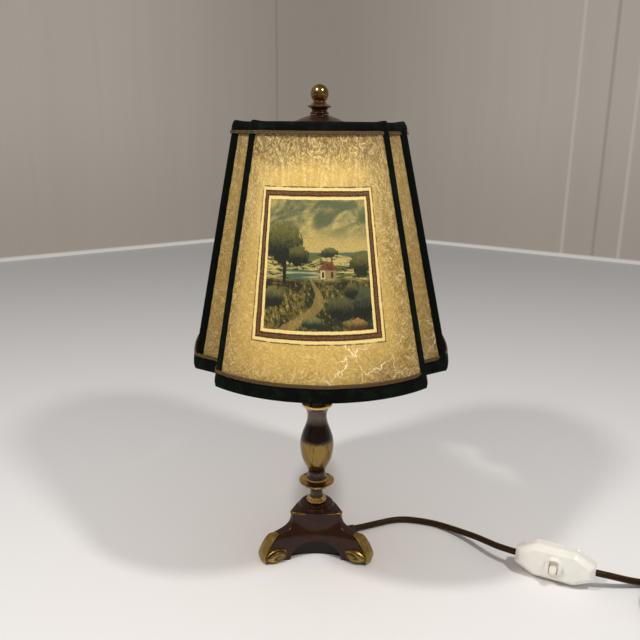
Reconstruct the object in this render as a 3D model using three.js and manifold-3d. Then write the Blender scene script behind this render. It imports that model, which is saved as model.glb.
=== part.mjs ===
// A small brass table lamp: a three-footed lacquered brass casting, a turned stem on a threaded tube,
// a harp over a small screw-in bulb, and a notched, bowed shade with dark velvet binding.
// Its cord runs over the table through an in-line switch to a coil and a flat two-pin plug.
// Millimetres, +Z up, front towards -Y, origin on the table under the lamp's axis.

import * as THREE from 'three';
import { mergeVertices } from 'three/addons/utils/BufferGeometryUtils.js';
import Module from 'manifold-3d';

const wasm = await Module();
wasm.setup();

const UP = new THREE.Vector3(0, 0, 1);
const TURN = 2 * Math.PI;
const radians = THREE.MathUtils.degToRad;
const plain = (x, y, z) => new THREE.Vector3(x, y, z);
const mix = (low, high, share) => low + (high - low) * share;

// Clearances shared by every piece
const seat = 0.3;
const overrun = 2;
const weldShare = 1e-4;
const roundSides = 24;
const wireSides = 6;

// Base casting: three legs around the axis, the first pair towards the front
const base = {
  legs: 3,
  height: 45.8,
  shoulderDrop: 4.8,
  shoulderReach: 25.6,
  shoulderFace: 16.4,
  footReach: 53.4,
  footFace: 21.5,
  footHeight: 20.5,
  footHalf: 7,
  wall: 3.6,
  archHalf: 22.5,
  archHeight: 16,
  scrollRadius: 6.4,
  scrollReach: 40.5,
  scrollHalf: 11.6,
  bellRadius: 15.4,
};
const shoulderHeight = base.height - base.shoulderDrop;
// Each level: height as a share from the foot's top to the shoulder, reach and half width as shares of the
// shoulder, and the face as a share from shoulder to foot
const upperLevelShares = [
  [1, 0.965, 0.07, 0.02],
  [0.947, 1, 0.08, 0],
  [0.874, 0.992, 0.08, 0.02],
  [0.825, 0.968, 0.09, 0.06],
  [0.579, 0.973, 0.11, 0.06],
  [0.383, 1.023, 0.14, 0.08],
  [0.2, 1.152, 0.17, 0.14],
  [0.074, 1.33, 0.2, 0.24],
];
// Each level of the foot: height and reach as shares of the foot, and its half width
const footLevelShares = [
  [1.05, 0.74, 0.84],
  [1, 0.83, 0.9],
  [0.9, 0.895, 0.97],
  [0.77, 0.935, 1],
  [0.56, 0.97, 1],
  [0.36, 0.995, 1],
  [0.2, 1, 0.96],
  [0.08, 0.985, 0.9],
  [0, 0.963, 0.84],
];
const bellShares = [
  [1, 0.88], [0.985, 0.905], [0.955, 0.925], [0.968, 0.94], [0.93, 0.955],
  [0.84, 0.963], [0.8, 0.974], [0.812, 0.986], [0.77, 1],
];

// Turned pieces stacked on the threaded tube
const tube = { radius: 4.75, bore: 3.3, bottom: 25, rise: 5 };
const bore = tube.radius + seat;
const ring = { radius: 8.85, height: 4.5 };
const spool = { radius: 6, height: 7.9 };
const dish = { radius: 15.7, height: 6.9, well: 3.9, wellRadius: 8.6 };
const vase = { radius: 14.7, height: 76.4, footRadius: 9.5, neckRadius: 8.35, rimRadius: 13.2 };
const ringShares = [[0.92, 0], [1, 0.18], [0.98, 0.4], [0.9, 0.6], [0.8, 0.75], [0.78, 0.9], [0.7, 1]];
const spoolShares = [[1, 0], [1, 0.1], [0.94, 0.2], [0.93, 0.78], [1, 0.88], [1, 1]];
const dishShares = [
  [0.41, 0], [0.46, 0.1], [0.46, 0.2], [0.42, 0.3], [0.49, 0.38], [0.72, 0.49],
  [0.91, 0.72], [1, 0.94], [0.975, 1], [0.86, 0.82],
];
const vaseFootShares = [[0.86, 0], [0.88, 0.04], [0.99, 0.055], [1, 0.07], [0.96, 0.08]];
const vaseRingShares = [[0.78, 0.115], [0.8, 0.135], [0.78, 0.15], [0.73, 0.157]];
const vaseBellyShares = [
  [0.52, 0.172], [0.615, 0.216], [0.783, 0.28], [0.905, 0.343], [0.976, 0.423],
  [1, 0.493], [0.956, 0.572], [0.84, 0.648], [0.72, 0.71], [0.619, 0.771],
];
const vaseNeckShares = [[1, 0.832], [1.03, 0.878], [1.16, 0.92], [1.37, 0.955]];
const vaseRimShares = [[1, 0.975], [1.01, 0.988], [0.96, 1]];
const bellySteps = 18;

// Fastening under the casting
const nut = { radius: 8.1, height: 4.6, sides: 6 };
const washer = { radius: 9.6, height: 1.4 };

// Harp and its saddle
const saddle = { half: 22.6, width: 13, height: 1.6, socketRadius: 3.6, socketHeight: 10, socketPlace: 18.6 };
const harp = { rod: 2, height: 218.8, reach: 38, bossRadius: 6.2, bossHeight: 5.6, studRadius: 3, studHeight: 20 };
const harpShares = [
  [0.49, 0], [0.53, 0.05], [0.72, 0.14], [0.93, 0.27], [1, 0.45], [0.95, 0.66],
  [0.76, 0.85], [0.45, 0.965], [0.17, 0.997],
];
const harpSteps = 44;

// Lampholder and bulb
const holder = { radius: 13.8, wall: 1.1, capHeight: 10.4, shellHeight: 34, coreHeight: 9.5 };
const thread = { radius: 8, bore: 7.3, height: 21 };
const contact = { width: 3, height: 1.2, length: 6.6 };
const bulb = { capRadius: 6.9, capWall: 0.45, capHeight: 20, pipRadius: 2.4, pipHeight: 1.3, ballRadius: 22.5 };
const glass = { wall: 0.9, neckRadius: 6.1, neckDepth: 4, neckRise: 9 };
const holderCapShares = [[0.5, 0], [0.62, 0.05], [0.84, 0.3], [0.95, 0.55], [1, 0.8], [1, 1]];

// Shade: half sizes of its notched plan at the hem and at the top, with the bow of each panel
const shade = {
  overSpider: 8.2,
  height: 183.8,
  panel: 0.8,
  wire: 1.3,
  hemHeight: 11,
  topHemHeight: 6.6,
  bind: 1.1,
  ribbonHalf: 4.6,
  ribbon: 0.9,
};
const lowPlan = { front: 75.4, frontDepth: 91, inner: 75.8, innerDepth: 66, outer: 96.4, outerDepth: 52.5 };
const topPlan = { front: 46, frontDepth: 57, inner: 46.6, innerDepth: 42, outer: 61, outerDepth: 33.5 };
const lowBow = { front: 31, side: 6 };
const topBow = { front: 14, side: 3.5 };
const frontSteps = 12;
const sideSteps = 6;
const shadeLevels = 3;

// Spider, cap and finial on the harp's stud
const spider = { radius: 10.5, height: 1.7 };
const dome = { radius: 27, height: 11.9, lift: 2.6, wall: 0.9, hubRadius: 6.9 };
const domeShares = [
  [0.99, 0], [1, 0.06], [0.963, 0.13], [0.815, 0.33], [0.663, 0.54], [0.519, 0.71],
  [0.396, 0.84], [0.296, 0.925], [0.256, 1],
];
const finial = { ballRadius: 7.1, height: 22.3, coreRadius: 7.1 };
const finialShares = [
  [1, 0], [1.01, 0.05], [0.93, 0.09], [0.86, 0.13], [0.9, 0.18], [1.05, 0.225], [1.29, 0.26],
  [1.29, 0.287], [1.02, 0.325], [0.83, 0.36], [0.7, 0.395], [0.72, 0.415], [0.66, 0.43],
];
const ballSteps = 8;

// Cord, its strain relief and the clip that holds it under the casting
const cord = { radius: 2.8, exitDegrees: 30, rest: 2.8, bendRadius: 15 };
const sleeve = { radius: 5.2, tipRadius: 3.7, start: 19.4, length: 21.5, flange: 6, barrel: 4.6, flangeHeight: 1.4, slack: 0.85 };
const sleeveTilt = 5.5;
const sleeveHeight = 6;
const clip = { sheet: 1.2, half: 6, offset: 9.6, bottom: 0.8, eyeHeight: 11.6 };

// In-line switch, standing on its narrow side with its lever towards the front
const gadget = {
  length: 64.5,
  width: 28,
  depth: 20,
  endWidth: 12.6,
  shoulderShare: 0.255,
  chamfer: 3,
  lid: 6,
  wall: 2,
  headingDegrees: -26,
  leanDegrees: 10,
  cordHeight: 15.1,
};
const gadgetStart = { x: 173.7, y: -31.7 };
const collar = { radius: 7.2, height: 4, depth: 10, slotHalf: 3.5, slotReach: 5.8 };
const lever = { half: 3.1, thick: 2.1, out: 12.5, inner: 4.4, pinRadius: 0.9, pinHalf: 6.6, tiltDegrees: -17 };
const pinSetback = 3.2;
const bridge = { half: 9, thick: 1.2, height: 2.4 };
const blade = { thick: 0.8, width: 4, length: 5.5, drop: 3.2, peg: 1.6 };
const screw = { radius: 1.4, head: 2.7, headHeight: 1.6, place: 14.5, offset: 7.6, boss: 2.9, length: 11 };

// Coil past the edge of the view, wound clockwise from above: in below, out on top
const coil = { x: 303, y: -99.3, inner: 22.5, pitch: 6.15, turns: 3.375, lowHeight: 3.6, lift: 0.75, steps: 24 };
const tie = { width: 4, thick: 0.8, degrees: 45 };

// Flat two-pin plug lying beside the coil
const plug = { length: 36, width: 35, height: 13.7, neck: 20, neckRadius: 4.6, tipRadius: 3.5 };
const pin = { radius: 2, length: 19, spacing: 18.6 };

// Colours, all from the photograph
const finishes = {
  lacquer: new THREE.MeshStandardMaterial({ color: 0x3b2220, roughness: 0.3, metalness: 0.6 }),
  polished: new THREE.MeshStandardMaterial({ color: 0xb08a3e, roughness: 0.25, metalness: 1 }),
  steel: new THREE.MeshStandardMaterial({ color: 0x9a9a98, roughness: 0.4, metalness: 1 }),
  bakelite: new THREE.MeshStandardMaterial({ color: 0x241c18, roughness: 0.4, metalness: 0 }),
  opal: new THREE.MeshStandardMaterial({ color: 0xfff2d0, roughness: 0.3, metalness: 0 }),
  parchment: new THREE.MeshStandardMaterial({ color: 0xd9b96e, roughness: 0.7, metalness: 0 }),
  velvet: new THREE.MeshStandardMaterial({ color: 0x0c2118, roughness: 1, metalness: 0 }),
  wire: new THREE.MeshStandardMaterial({ color: 0xcfc9b8, roughness: 0.5, metalness: 0.5 }),
  white: new THREE.MeshStandardMaterial({ color: 0xeee8da, roughness: 0.3, metalness: 0 }),
  cord: new THREE.MeshStandardMaterial({ color: 0x4b3a22, roughness: 0.35, metalness: 0 }),
};

const group = new THREE.Group();

// Adds one finished piece under its name, into the whole lamp or into a turned group
function add(name, geometry, finish, parent = group) {
  const mesh = new THREE.Mesh(geometry, finishes[finish]);
  mesh.name = name;
  parent.add(mesh);
  return mesh;
}

// Merges shared corners, drops empty triangles and turns the faces outwards
function closed(geometry) {
  const bare = geometry.clone();
  bare.deleteAttribute('normal');
  bare.deleteAttribute('uv');
  const merged = mergeVertices(bare, weldShare);
  const position = merged.attributes.position;
  const kept = [];
  let volume = 0;
  const corners = [plain(0, 0, 0), plain(0, 0, 0), plain(0, 0, 0)];
  for (let i = 0; i < merged.index.count; i += 3) {
    const ids = [0, 1, 2].map((j) => merged.index.getX(i + j));
    if (ids[0] === ids[1] || ids[1] === ids[2] || ids[0] === ids[2]) continue;
    ids.forEach((id, j) => corners[j].fromBufferAttribute(position, id));
    volume += corners[0].dot(corners[1].clone().cross(corners[2]));
    kept.push(ids);
  }
  const facing = volume > 0 ? kept : kept.map(([a, b, c]) => [a, c, b]);
  merged.setIndex(facing.flat());
  return merged;
}

function toSolid(geometry) {
  const clean = closed(geometry);
  return new wasm.Manifold(new wasm.Mesh({
    numProp: 3,
    vertProperties: new Float32Array(clean.attributes.position.array),
    triVerts: new Uint32Array(clean.index.array),
  }));
}

function fromSolid(solid) {
  const mesh = solid.getMesh();
  const geometry = new THREE.BufferGeometry();
  geometry.setAttribute('position', new THREE.BufferAttribute(new Float32Array(mesh.vertProperties), 3));
  geometry.setIndex(Array.from(mesh.triVerts));
  return geometry;
}

const join = (...pieces) => fromSolid(pieces.map(toSolid).reduce((a, b) => a.add(b)));
const cut = (piece, ...holes) => fromSolid(holes.map(toSolid).reduce((a, b) => a.subtract(b), toSolid(piece)));

// Revolves a profile of [radius, height] points about the vertical axis
function turned(profile, sides = roundSides) {
  const points = profile.map(([r, z]) => new THREE.Vector2(r, z));
  return closed(new THREE.LatheGeometry(points, sides).rotateX(Math.PI / 2));
}

// A turned piece with a straight bore: the profile is closed down the bore's wall
const bored = (profile, radius, sides) => turned([
  [radius, profile[0][1]],
  ...profile,
  [radius, profile[profile.length - 1][1]],
  [radius, profile[0][1]],
], sides);

const scaled = (shares, radius, low, height) => shares.map(([r, z]) => [r * radius, low + z * height]);

function upright(radius, low, height, sides = roundSides) {
  return new THREE.CylinderGeometry(radius, radius, height, sides)
    .rotateX(Math.PI / 2)
    .translate(0, 0, low + height / 2);
}

const block = (x, y, z, at = plain(0, 0, 0)) => new THREE.BoxGeometry(x, y, z).translate(at.x, at.y, at.z);

// Joins equal rings of points into a closed body; a loop has no end caps
function loft(rings, looped = false) {
  const count = rings[0].length;
  const positions = rings.flat().flatMap((p) => [p.x, p.y, p.z]);
  const index = [];
  const last = looped ? rings.length : rings.length - 1;
  for (let i = 0; i < last; i += 1) {
    const a = i * count;
    const b = ((i + 1) % rings.length) * count;
    for (let j = 0; j < count; j += 1) {
      const k = (j + 1) % count;
      index.push(a + j, a + k, b + k, a + j, b + k, b + j);
    }
  }
  if (!looped) {
    capRing(rings[0], 0, index, true);
    capRing(rings[rings.length - 1], (rings.length - 1) * count, index, false);
  }
  const geometry = new THREE.BufferGeometry();
  geometry.setAttribute('position', new THREE.Float32BufferAttribute(positions, 3));
  geometry.setIndex(index);
  return closed(geometry);
}

// Fills a flat end ring, seen in its own plane
function capRing(points, offset, index, reversed) {
  const normal = plain(0, 0, 0);
  points.forEach((p, i) => normal.add(p.clone().cross(points[(i + 1) % points.length])));
  normal.normalize();
  const across = points[1].clone().sub(points[0]).normalize();
  const along = normal.clone().cross(across);
  const flat = points.map((p) => new THREE.Vector2(p.dot(across), p.dot(along)));
  THREE.ShapeUtils.triangulateShape(flat, []).forEach(([a, b, c]) => {
    index.push(offset + a, offset + (reversed ? c : b), offset + (reversed ? b : c));
  });
}

// A round tube along a curve
function tubeAlong(curve, radius, sides, steps) {
  const shape = new THREE.Shape();
  for (let i = 0; i < sides; i += 1) {
    const angle = (TURN * i) / sides;
    const point = [radius * Math.cos(angle), radius * Math.sin(angle)];
    if (i === 0) shape.moveTo(...point);
    else shape.lineTo(...point);
  }
  shape.closePath();
  return closed(new THREE.ExtrudeGeometry(shape, { steps, bevelEnabled: false, extrudePath: curve }));
}

const cordSides = 8;
const cordStepShare = 4.5;
function cordTube(curve) {
  const steps = Math.ceil(curve.getLength() / (cord.radius * cordStepShare));
  return tubeAlong(curve, cord.radius, cordSides, steps);
}

// Base casting
const legDegrees = [90, 210, 330];
const spread = (share) => base.shoulderFace + share * (base.footFace - base.shoulderFace);

// One level of the plan: two corners a leg, joined by hollow sides
function castingRing(height, reach, half, face, hollowPoints = 5) {
  const points = [];
  legDegrees.forEach((degrees) => {
    const turn = radians(degrees);
    const out = plain(Math.cos(turn), Math.sin(turn), 0);
    const across = plain(-out.y, out.x, 0);
    [-half, half].forEach((w) => points.push(out.clone().multiplyScalar(reach).addScaledVector(across, w)));
    const middle = turn + TURN / base.legs / 2;
    const normal = plain(Math.cos(middle), Math.sin(middle), 0);
    const run = plain(-normal.y, normal.x, 0);
    const corner = points[points.length - 1];
    const reachAcross = Math.abs(corner.dot(run));
    const reachOut = corner.dot(normal);
    for (let i = 1; i <= hollowPoints; i += 1) {
      const share = -1 + (2 * i) / (hollowPoints + 1);
      const depth = face + (reachOut - face) * share * share;
      points.push(normal.clone().multiplyScalar(depth).addScaledVector(run, share * reachAcross));
    }
  });
  return points.map((p) => p.setZ(height));
}

function castingLevels() {
  const footTop = footLevelShares[0][0] * base.footHeight;
  const upper = upperLevelShares.map(([height, reach, half, face]) => castingRing(
    mix(footTop, shoulderHeight, height), reach * base.shoulderReach, half * base.shoulderReach, spread(face),
  ));
  const foot = footLevelShares.map(([height, reach, half]) => castingRing(
    height * base.footHeight, reach * base.footReach, half * base.footHalf, spread(1 - height / 2),
  ));
  return [...upper, ...foot].reverse();
}

const ceiling = shoulderHeight - base.wall;
function castingHollow() {
  const inner = base.shoulderReach;
  return loft([
    castingRing(-overrun, inner + base.wall, base.wall, base.footFace - base.wall),
    castingRing(base.archHeight, inner, base.wall, spread(0) - base.wall + seat),
    castingRing(ceiling, inner - base.wall * 2, base.wall, spread(0) - base.wall),
  ]);
}

function archCut(degrees) {
  const shape = new THREE.Shape();
  shape.moveTo(-base.archHalf, -overrun);
  shape.lineTo(base.archHalf, -overrun);
  shape.lineTo(base.archHalf, 0);
  shape.absellipse(0, 0, base.archHalf, base.archHeight, 0, Math.PI, false, 0);
  shape.closePath();
  const depth = base.footReach;
  return new THREE.ExtrudeGeometry(shape, { depth, bevelEnabled: false, curveSegments: 8 })
    .rotateX(Math.PI / 2)
    .rotateZ(Math.PI / 2)
    .rotateZ(radians(degrees));
}

// A scroll disc on each side of each foot, square to the leg
function scrollDisc(degrees) {
  const discSides = 20;
  return new THREE.CylinderGeometry(base.scrollRadius, base.scrollRadius, base.scrollHalf * 2, discSides)
    .translate(base.scrollReach, 0, base.scrollRadius)
    .rotateZ(radians(degrees));
}

function baseCasting() {
  const body = loft(castingLevels());
  const bell = turned([
    [0, shoulderHeight * bellShares[0][1]],
    ...scaled(bellShares, base.bellRadius, 0, base.height),
    [0, base.height],
  ]);
  const arches = legDegrees.map((degrees) => archCut(degrees + TURN_DEGREES / base.legs / 2));
  const hollowed = cut(join(body, bell), castingHollow(), ...arches);
  const footed = join(hollowed, ...legDegrees.map(scrollDisc));
  return cut(footed, upright(bore, -overrun, base.height + overrun * 2));
}
const TURN_DEGREES = 360;

add('base_casting', baseCasting(), 'lacquer');

// Stem pieces, each standing on the one below
const ringLow = base.height + seat;
add('stem_ring', bored(scaled(ringShares, ring.radius, ringLow, ring.height), bore), 'polished');

const spoolLow = ringLow + ring.height + seat;
add('stem_spool', bored(scaled(spoolShares, spool.radius, spoolLow, spool.height), bore), 'lacquer');

const dishLow = spoolLow + spool.height + seat;
const dishWell = dishLow + dish.well;
add('stem_dish', bored([
  ...scaled(dishShares, dish.radius, dishLow, dish.height),
  [dish.wellRadius, dishWell],
], bore), 'polished');

const vaseLow = dishWell + seat;
function vaseProfile() {
  const belly = new THREE.SplineCurve([
    ...scaled(vaseBellyShares, vase.radius, vaseLow, vase.height),
    ...scaled(vaseNeckShares, vase.neckRadius, vaseLow, vase.height),
  ].map(([r, z]) => new THREE.Vector2(r, z)));
  return [
    ...scaled(vaseFootShares, vase.footRadius, vaseLow, vase.height),
    ...scaled(vaseRingShares, vase.footRadius, vaseLow, vase.height),
    ...belly.getPoints(bellySteps).map((p) => [p.x, p.y]),
    ...scaled(vaseRimShares, vase.rimRadius, vaseLow, vase.height),
  ];
}
const vaseTop = vaseLow + vase.height;
add('stem_vase', bored(vaseProfile(), bore), 'lacquer');

// Threaded tube through the whole stem, with its washer, clip and nut under the casting
const capLow = vaseTop + seat + saddle.height + seat;
const tubeTop = capLow + tube.rise;
add('stem_tube', bored([[tube.radius, tube.bottom], [tube.radius, tubeTop]], tube.bore), 'steel');

const washerLow = ceiling - seat - washer.height;
add('stem_washer', cut(upright(washer.radius, washerLow, washer.height), upright(bore, 0, tubeTop)), 'steel');

const clipTop = washerLow - seat;
const nutTop = clipTop - clip.sheet - seat;
add('stem_nut', cut(
  upright(nut.radius, nutTop - nut.height, nut.height, nut.sides),
  upright(bore, 0, tubeTop),
), 'steel');

// Cord inside the lamp: up the tube, out level through the strain relief
const outward = plain(Math.cos(radians(cord.exitDegrees)), Math.sin(radians(cord.exitDegrees)), 0);
const sideways = plain(-outward.y, outward.x, 0);
const tilt = radians(sleeveTilt);
const slope = outward.clone().multiplyScalar(Math.cos(tilt)).addScaledVector(UP, -Math.sin(tilt));
const sleeveRoot = outward.clone().multiplyScalar(sleeve.start).addScaledVector(UP, sleeveHeight);
const sleeveTip = sleeveRoot.clone().addScaledVector(slope, sleeve.length);

function innerLead() {
  const levels = 8;
  const sweep = Math.PI / 2 - tilt;
  const points = [plain(0, 0, capLow + tube.rise), plain(0, 0, base.height)];
  const bendReach = cord.bendRadius * (1 - Math.sin(tilt));
  const bendLow = sleeveHeight + Math.tan(tilt) * (sleeve.start - bendReach);
  const bendTop = bendLow + cord.bendRadius * Math.cos(tilt);
  for (let i = 0; i <= levels; i += 1) {
    const angle = (sweep * i) / levels;
    const along = cord.bendRadius * (1 - Math.cos(angle));
    points.push(outward.clone().multiplyScalar(along).setZ(bendTop - cord.bendRadius * Math.sin(angle)));
  }
  points.push(sleeveTip.clone().addScaledVector(slope, -seat / 2));
  return cordTube(new THREE.CatmullRomCurve3(points, false, 'centripetal'));
}
add('inner_lead', innerLead(), 'cord');

// Points a turned body's axis from +Z to any direction, with its root at a point
function aimed(geometry, direction, root) {
  const turn = new THREE.Quaternion().setFromUnitVectors(UP, direction.clone().normalize());
  return geometry.applyQuaternion(turn).translate(root.x, root.y, root.z);
}

function strainRelief() {
  const grip = -clip.sheet - sleeve.slack * 2;
  const back = grip - sleeve.flangeHeight;
  const profile = [
    [sleeve.flange, back], [sleeve.flange, grip], [sleeve.barrel, grip], [sleeve.barrel, 0],
    [sleeve.radius, 0], [sleeve.tipRadius, sleeve.length],
  ];
  return aimed(bored(profile, cord.radius + seat, 16), slope, sleeveRoot);
}
add('cord_strain_relief', strainRelief(), 'cord');

// Bent steel clip: held by the nut, and round the strain relief behind its taper
function cordClip() {
  const place = (u, v, z) => outward.clone().multiplyScalar(u).addScaledVector(sideways, v).setZ(z);
  const turnTo = (geometry, at) => geometry.rotateZ(radians(cord.exitDegrees)).translate(at.x, at.y, at.z);
  const low = clip.bottom;
  const drop = clipTop - low;
  const arm = sleeve.start - sleeve.slack;
  const rise = low + clip.eyeHeight / 2;
  const tab = turnTo(block(clip.half * 2, clip.offset * 2, clip.sheet), place(0, 0, clipTop - clip.sheet / 2));
  const leg = turnTo(
    block(clip.half, clip.sheet, drop),
    place(0, clip.offset - clip.sheet / 2, low + drop / 2),
  );
  const foot = turnTo(
    block(arm + clip.half / 2, clip.sheet, clip.eyeHeight),
    place(arm / 2 - clip.half / 4, clip.offset - clip.sheet / 2, rise),
  );
  const eye = turnTo(
    block(clip.sheet, clip.offset + clip.half, clip.eyeHeight),
    place(arm - clip.sheet / 2, (clip.offset - clip.half) / 2, rise),
  );
  const hole = aimed(
    upright(sleeve.barrel + seat, -sleeve.length / 2, sleeve.length, 16),
    slope,
    sleeveRoot.clone().addScaledVector(slope, -clip.sheet / 2),
  );
  return cut(join(tab, leg, foot, eye), hole, upright(bore, 0, tubeTop));
}
add('cord_clip', cordClip(), 'steel');

// Saddle and harp
const saddleLow = vaseTop + seat;
const socketTop = saddleLow + saddle.height + saddle.socketHeight;
function saddlePiece() {
  const plate = block(saddle.half * 2, saddle.width, saddle.height, plain(0, 0, saddleLow + saddle.height / 2));
  const sides = [-1, 1];
  const socket = (side) => upright(saddle.socketRadius, saddleLow, saddle.height + saddle.socketHeight, 16)
    .translate(side * saddle.socketPlace, 0, 0);
  const well = (side) => upright(harp.rod + seat, saddleLow + saddle.height, saddle.socketHeight + overrun, 16)
    .translate(side * saddle.socketPlace, 0, 0);
  return cut(join(plate, ...sides.map(socket)), ...sides.map(well), upright(bore, 0, tubeTop));
}
add('harp_saddle', saddlePiece(), 'polished');

const harpLow = saddleLow + saddle.height + seat;
const harpTop = harpLow + harp.height;
function harpPiece() {
  const right = [
    plain(saddle.socketPlace, 0, harpLow),
    plain(saddle.socketPlace, 0, socketTop),
    ...harpShares.slice(1).map(([x, z]) => plain(x * harp.reach, 0, harpLow + z * harp.height)),
  ];
  const left = right.map((p) => plain(-p.x, 0, p.z)).reverse();
  const curve = new THREE.CatmullRomCurve3([...right, plain(0, 0, harpTop), ...left], false, 'centripetal');
  const rod = tubeAlong(curve, harp.rod, wireSides + 2, harpSteps);
  const boss = upright(harp.bossRadius, harpTop - harp.bossHeight / 2, harp.bossHeight, 20);
  const stud = upright(harp.studRadius, harpTop, harp.bossHeight / 2 + harp.studHeight, 14);
  return join(rod, boss, stud);
}
add('harp', harpPiece(), 'polished');

// Lampholder: cap, shell, insulating core, threaded sleeve and centre contact
const shellLow = capLow + holder.capHeight + seat;
const inside = holder.radius - holder.wall;
function holderCap() {
  const outer = scaled(holderCapShares, holder.radius, capLow, holder.capHeight);
  const inner = scaled(holderCapShares.slice(1), inside, capLow + holder.wall, holder.capHeight - holder.wall);
  return bored([...outer, ...inner.reverse(), [bore, capLow + holder.wall]], bore);
}
add('holder_cap', holderCap(), 'polished');

const coreLow = shellLow + holder.wall;
const coreTop = coreLow + holder.coreHeight;
const shelf = inside - holder.wall * 2;
const shellTop = shellLow + holder.shellHeight;
add('holder_shell', turned([
  [shelf, shellLow], [holder.radius, shellLow], [holder.radius, shellTop], [inside, shellTop],
  [inside, coreLow - seat], [shelf, coreLow - seat], [shelf, shellLow],
]), 'polished');
add('holder_core', cut(
  upright(inside - seat, coreLow, holder.coreHeight, 24),
  upright(holder.wall, coreLow - overrun, holder.coreHeight + overrun * 2, 10),
), 'bakelite');

const threadLow = coreTop + seat;
add('holder_thread', bored([[thread.radius, threadLow], [thread.radius, threadLow + thread.height]], thread.bore), 'polished');
add('centre_contact', block(
  contact.length, contact.width, contact.height,
  plain(contact.length / 2 - contact.width / 2, 0, threadLow + contact.height / 2),
), 'polished');

// Bulb: metal cap with its contact pip, and the glass
const pipLow = threadLow + contact.height + seat;
const bulbCapLow = pipLow + bulb.pipHeight;
const bulbCapTop = bulbCapLow + bulb.capHeight;
const capInner = bulb.capRadius - bulb.capWall;
const glassLow = bulbCapTop - glass.neckDepth;
add('bulb_cap', turned([
  [0, pipLow], [bulb.pipRadius, pipLow], [bulb.pipRadius, bulbCapLow], [bulb.capRadius, bulbCapLow + bulb.pipHeight],
  [bulb.capRadius, bulbCapTop], [capInner, bulbCapTop], [capInner, bulbCapLow + bulb.pipHeight * 2],
  [0, bulbCapLow + bulb.pipHeight * 2],
], 24), 'steel');

function bulbGlass() {
  const centre = bulbCapTop + glass.neckRise + bulb.ballRadius * 0.78;
  const low = -radians(58);
  const arc = (radius, steps) => Array.from({ length: steps + 1 }, (_, i) => {
    const angle = low + ((Math.PI / 2 - low) * i) / steps;
    return [radius * Math.cos(angle), centre + radius * Math.sin(angle)];
  });
  const outer = [[glass.neckRadius, glassLow], [glass.neckRadius, bulbCapTop + seat * 2], ...arc(bulb.ballRadius, 8)];
  const innerBall = arc(bulb.ballRadius - glass.wall, 8);
  const innerNeck = glass.neckRadius - glass.wall;
  const inner = [...innerBall.reverse(), [innerNeck, bulbCapTop + seat * 2], [innerNeck, glassLow]];
  return turned([...outer, ...inner, [glass.neckRadius, glassLow]], 18);
}
add('bulb_glass', bulbGlass(), 'opal');

// The shade hangs from its spider, which lies on the harp's boss
const spiderLow = harpTop + harp.bossHeight / 2 + seat;
const shadeTop = spiderLow + shade.overSpider;
const shadeBottom = shadeTop - shade.height;

// Shade plan: every corner at one level, in order round the shade
const levelOf = (z) => (z - shadeBottom) / shade.height;
function corners(level) {
  const size = {};
  Object.keys(lowPlan).forEach((key) => { size[key] = mix(lowPlan[key], topPlan[key], level); });
  const at = (x, y, right, back) => plain(right * x, back * y, 0);
  const quarter = (right, back) => ({
    front: at(size.front, size.frontDepth, right, back),
    inner: at(size.inner, size.innerDepth, right, back),
    outer: at(size.outer, size.outerDepth, right, back),
  });
  return { fr: quarter(1, -1), br: quarter(1, 1), bl: quarter(-1, 1), fl: quarter(-1, -1) };
}

// A bowed run of points from a to b, bulging to the right-hand side of the way
function bowed(a, b, bow, steps) {
  const chord = b.clone().sub(a);
  const half = chord.length() / 2;
  const out = plain(chord.y, -chord.x, 0).normalize();
  const radius = (half * half + bow * bow) / (2 * bow);
  const sweep = Math.asin(half / radius);
  const middle = a.clone().add(b).multiplyScalar(0.5).addScaledVector(out, bow - radius);
  const along = chord.normalize();
  return Array.from({ length: steps + 1 }, (_, i) => {
    const angle = sweep * (-1 + (2 * i) / steps);
    return middle.clone()
      .addScaledVector(along, radius * Math.sin(angle))
      .addScaledVector(out, radius * Math.cos(angle));
  });
}

const panelRuns = {
  panel_front: (c, l) => bowed(c.fl.front, c.fr.front, mix(lowBow.front, topBow.front, l), frontSteps),
  corner_front_right: (c) => [c.fr.front, c.fr.inner, c.fr.outer],
  panel_right: (c, l) => bowed(c.fr.outer, c.br.outer, mix(lowBow.side, topBow.side, l), sideSteps),
  corner_back_right: (c) => [c.br.outer, c.br.inner, c.br.front],
  panel_back: (c, l) => bowed(c.br.front, c.bl.front, mix(lowBow.front, topBow.front, l), frontSteps),
  corner_back_left: (c) => [c.bl.front, c.bl.inner, c.bl.outer],
  panel_left: (c, l) => bowed(c.bl.outer, c.fl.outer, mix(lowBow.side, topBow.side, l), sideSteps),
  corner_front_left: (c) => [c.fl.outer, c.fl.inner, c.fl.front],
};
const runAt = (name, z) => panelRuns[name](corners(levelOf(z)), levelOf(z));
function outlineAt(z) {
  return Object.keys(panelRuns).flatMap((name) => runAt(name, z).slice(0, -1));
}

// Moves a run of points outwards by a distance, with mitred corners
function shifted(points, distance, z, looped) {
  return points.map((p, i) => {
    const before = looped || i > 0 ? points[(i + points.length - 1) % points.length] : null;
    const after = looped || i < points.length - 1 ? points[(i + 1) % points.length] : null;
    const sides = [before && p.clone().sub(before), after && after.clone().sub(p)]
      .filter(Boolean)
      .map((way) => plain(way.y, -way.x, 0).normalize());
    const normal = sides.reduce((a, b) => a.clone().add(b)).normalize();
    const lengthen = Math.max(normal.dot(sides[0]), 0.4);
    return p.clone().addScaledVector(normal, distance / lengthen).setZ(z);
  });
}

// Trims both ends of a run so that neighbouring panels stay apart at their corner
function trimmed(points, length) {
  const ends = points.map((p) => p.clone());
  const pull = (from, to) => ends[from].addScaledVector(ends[to].clone().sub(ends[from]).normalize(), length);
  pull(0, 1);
  pull(ends.length - 1, ends.length - 2);
  return ends;
}

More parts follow.
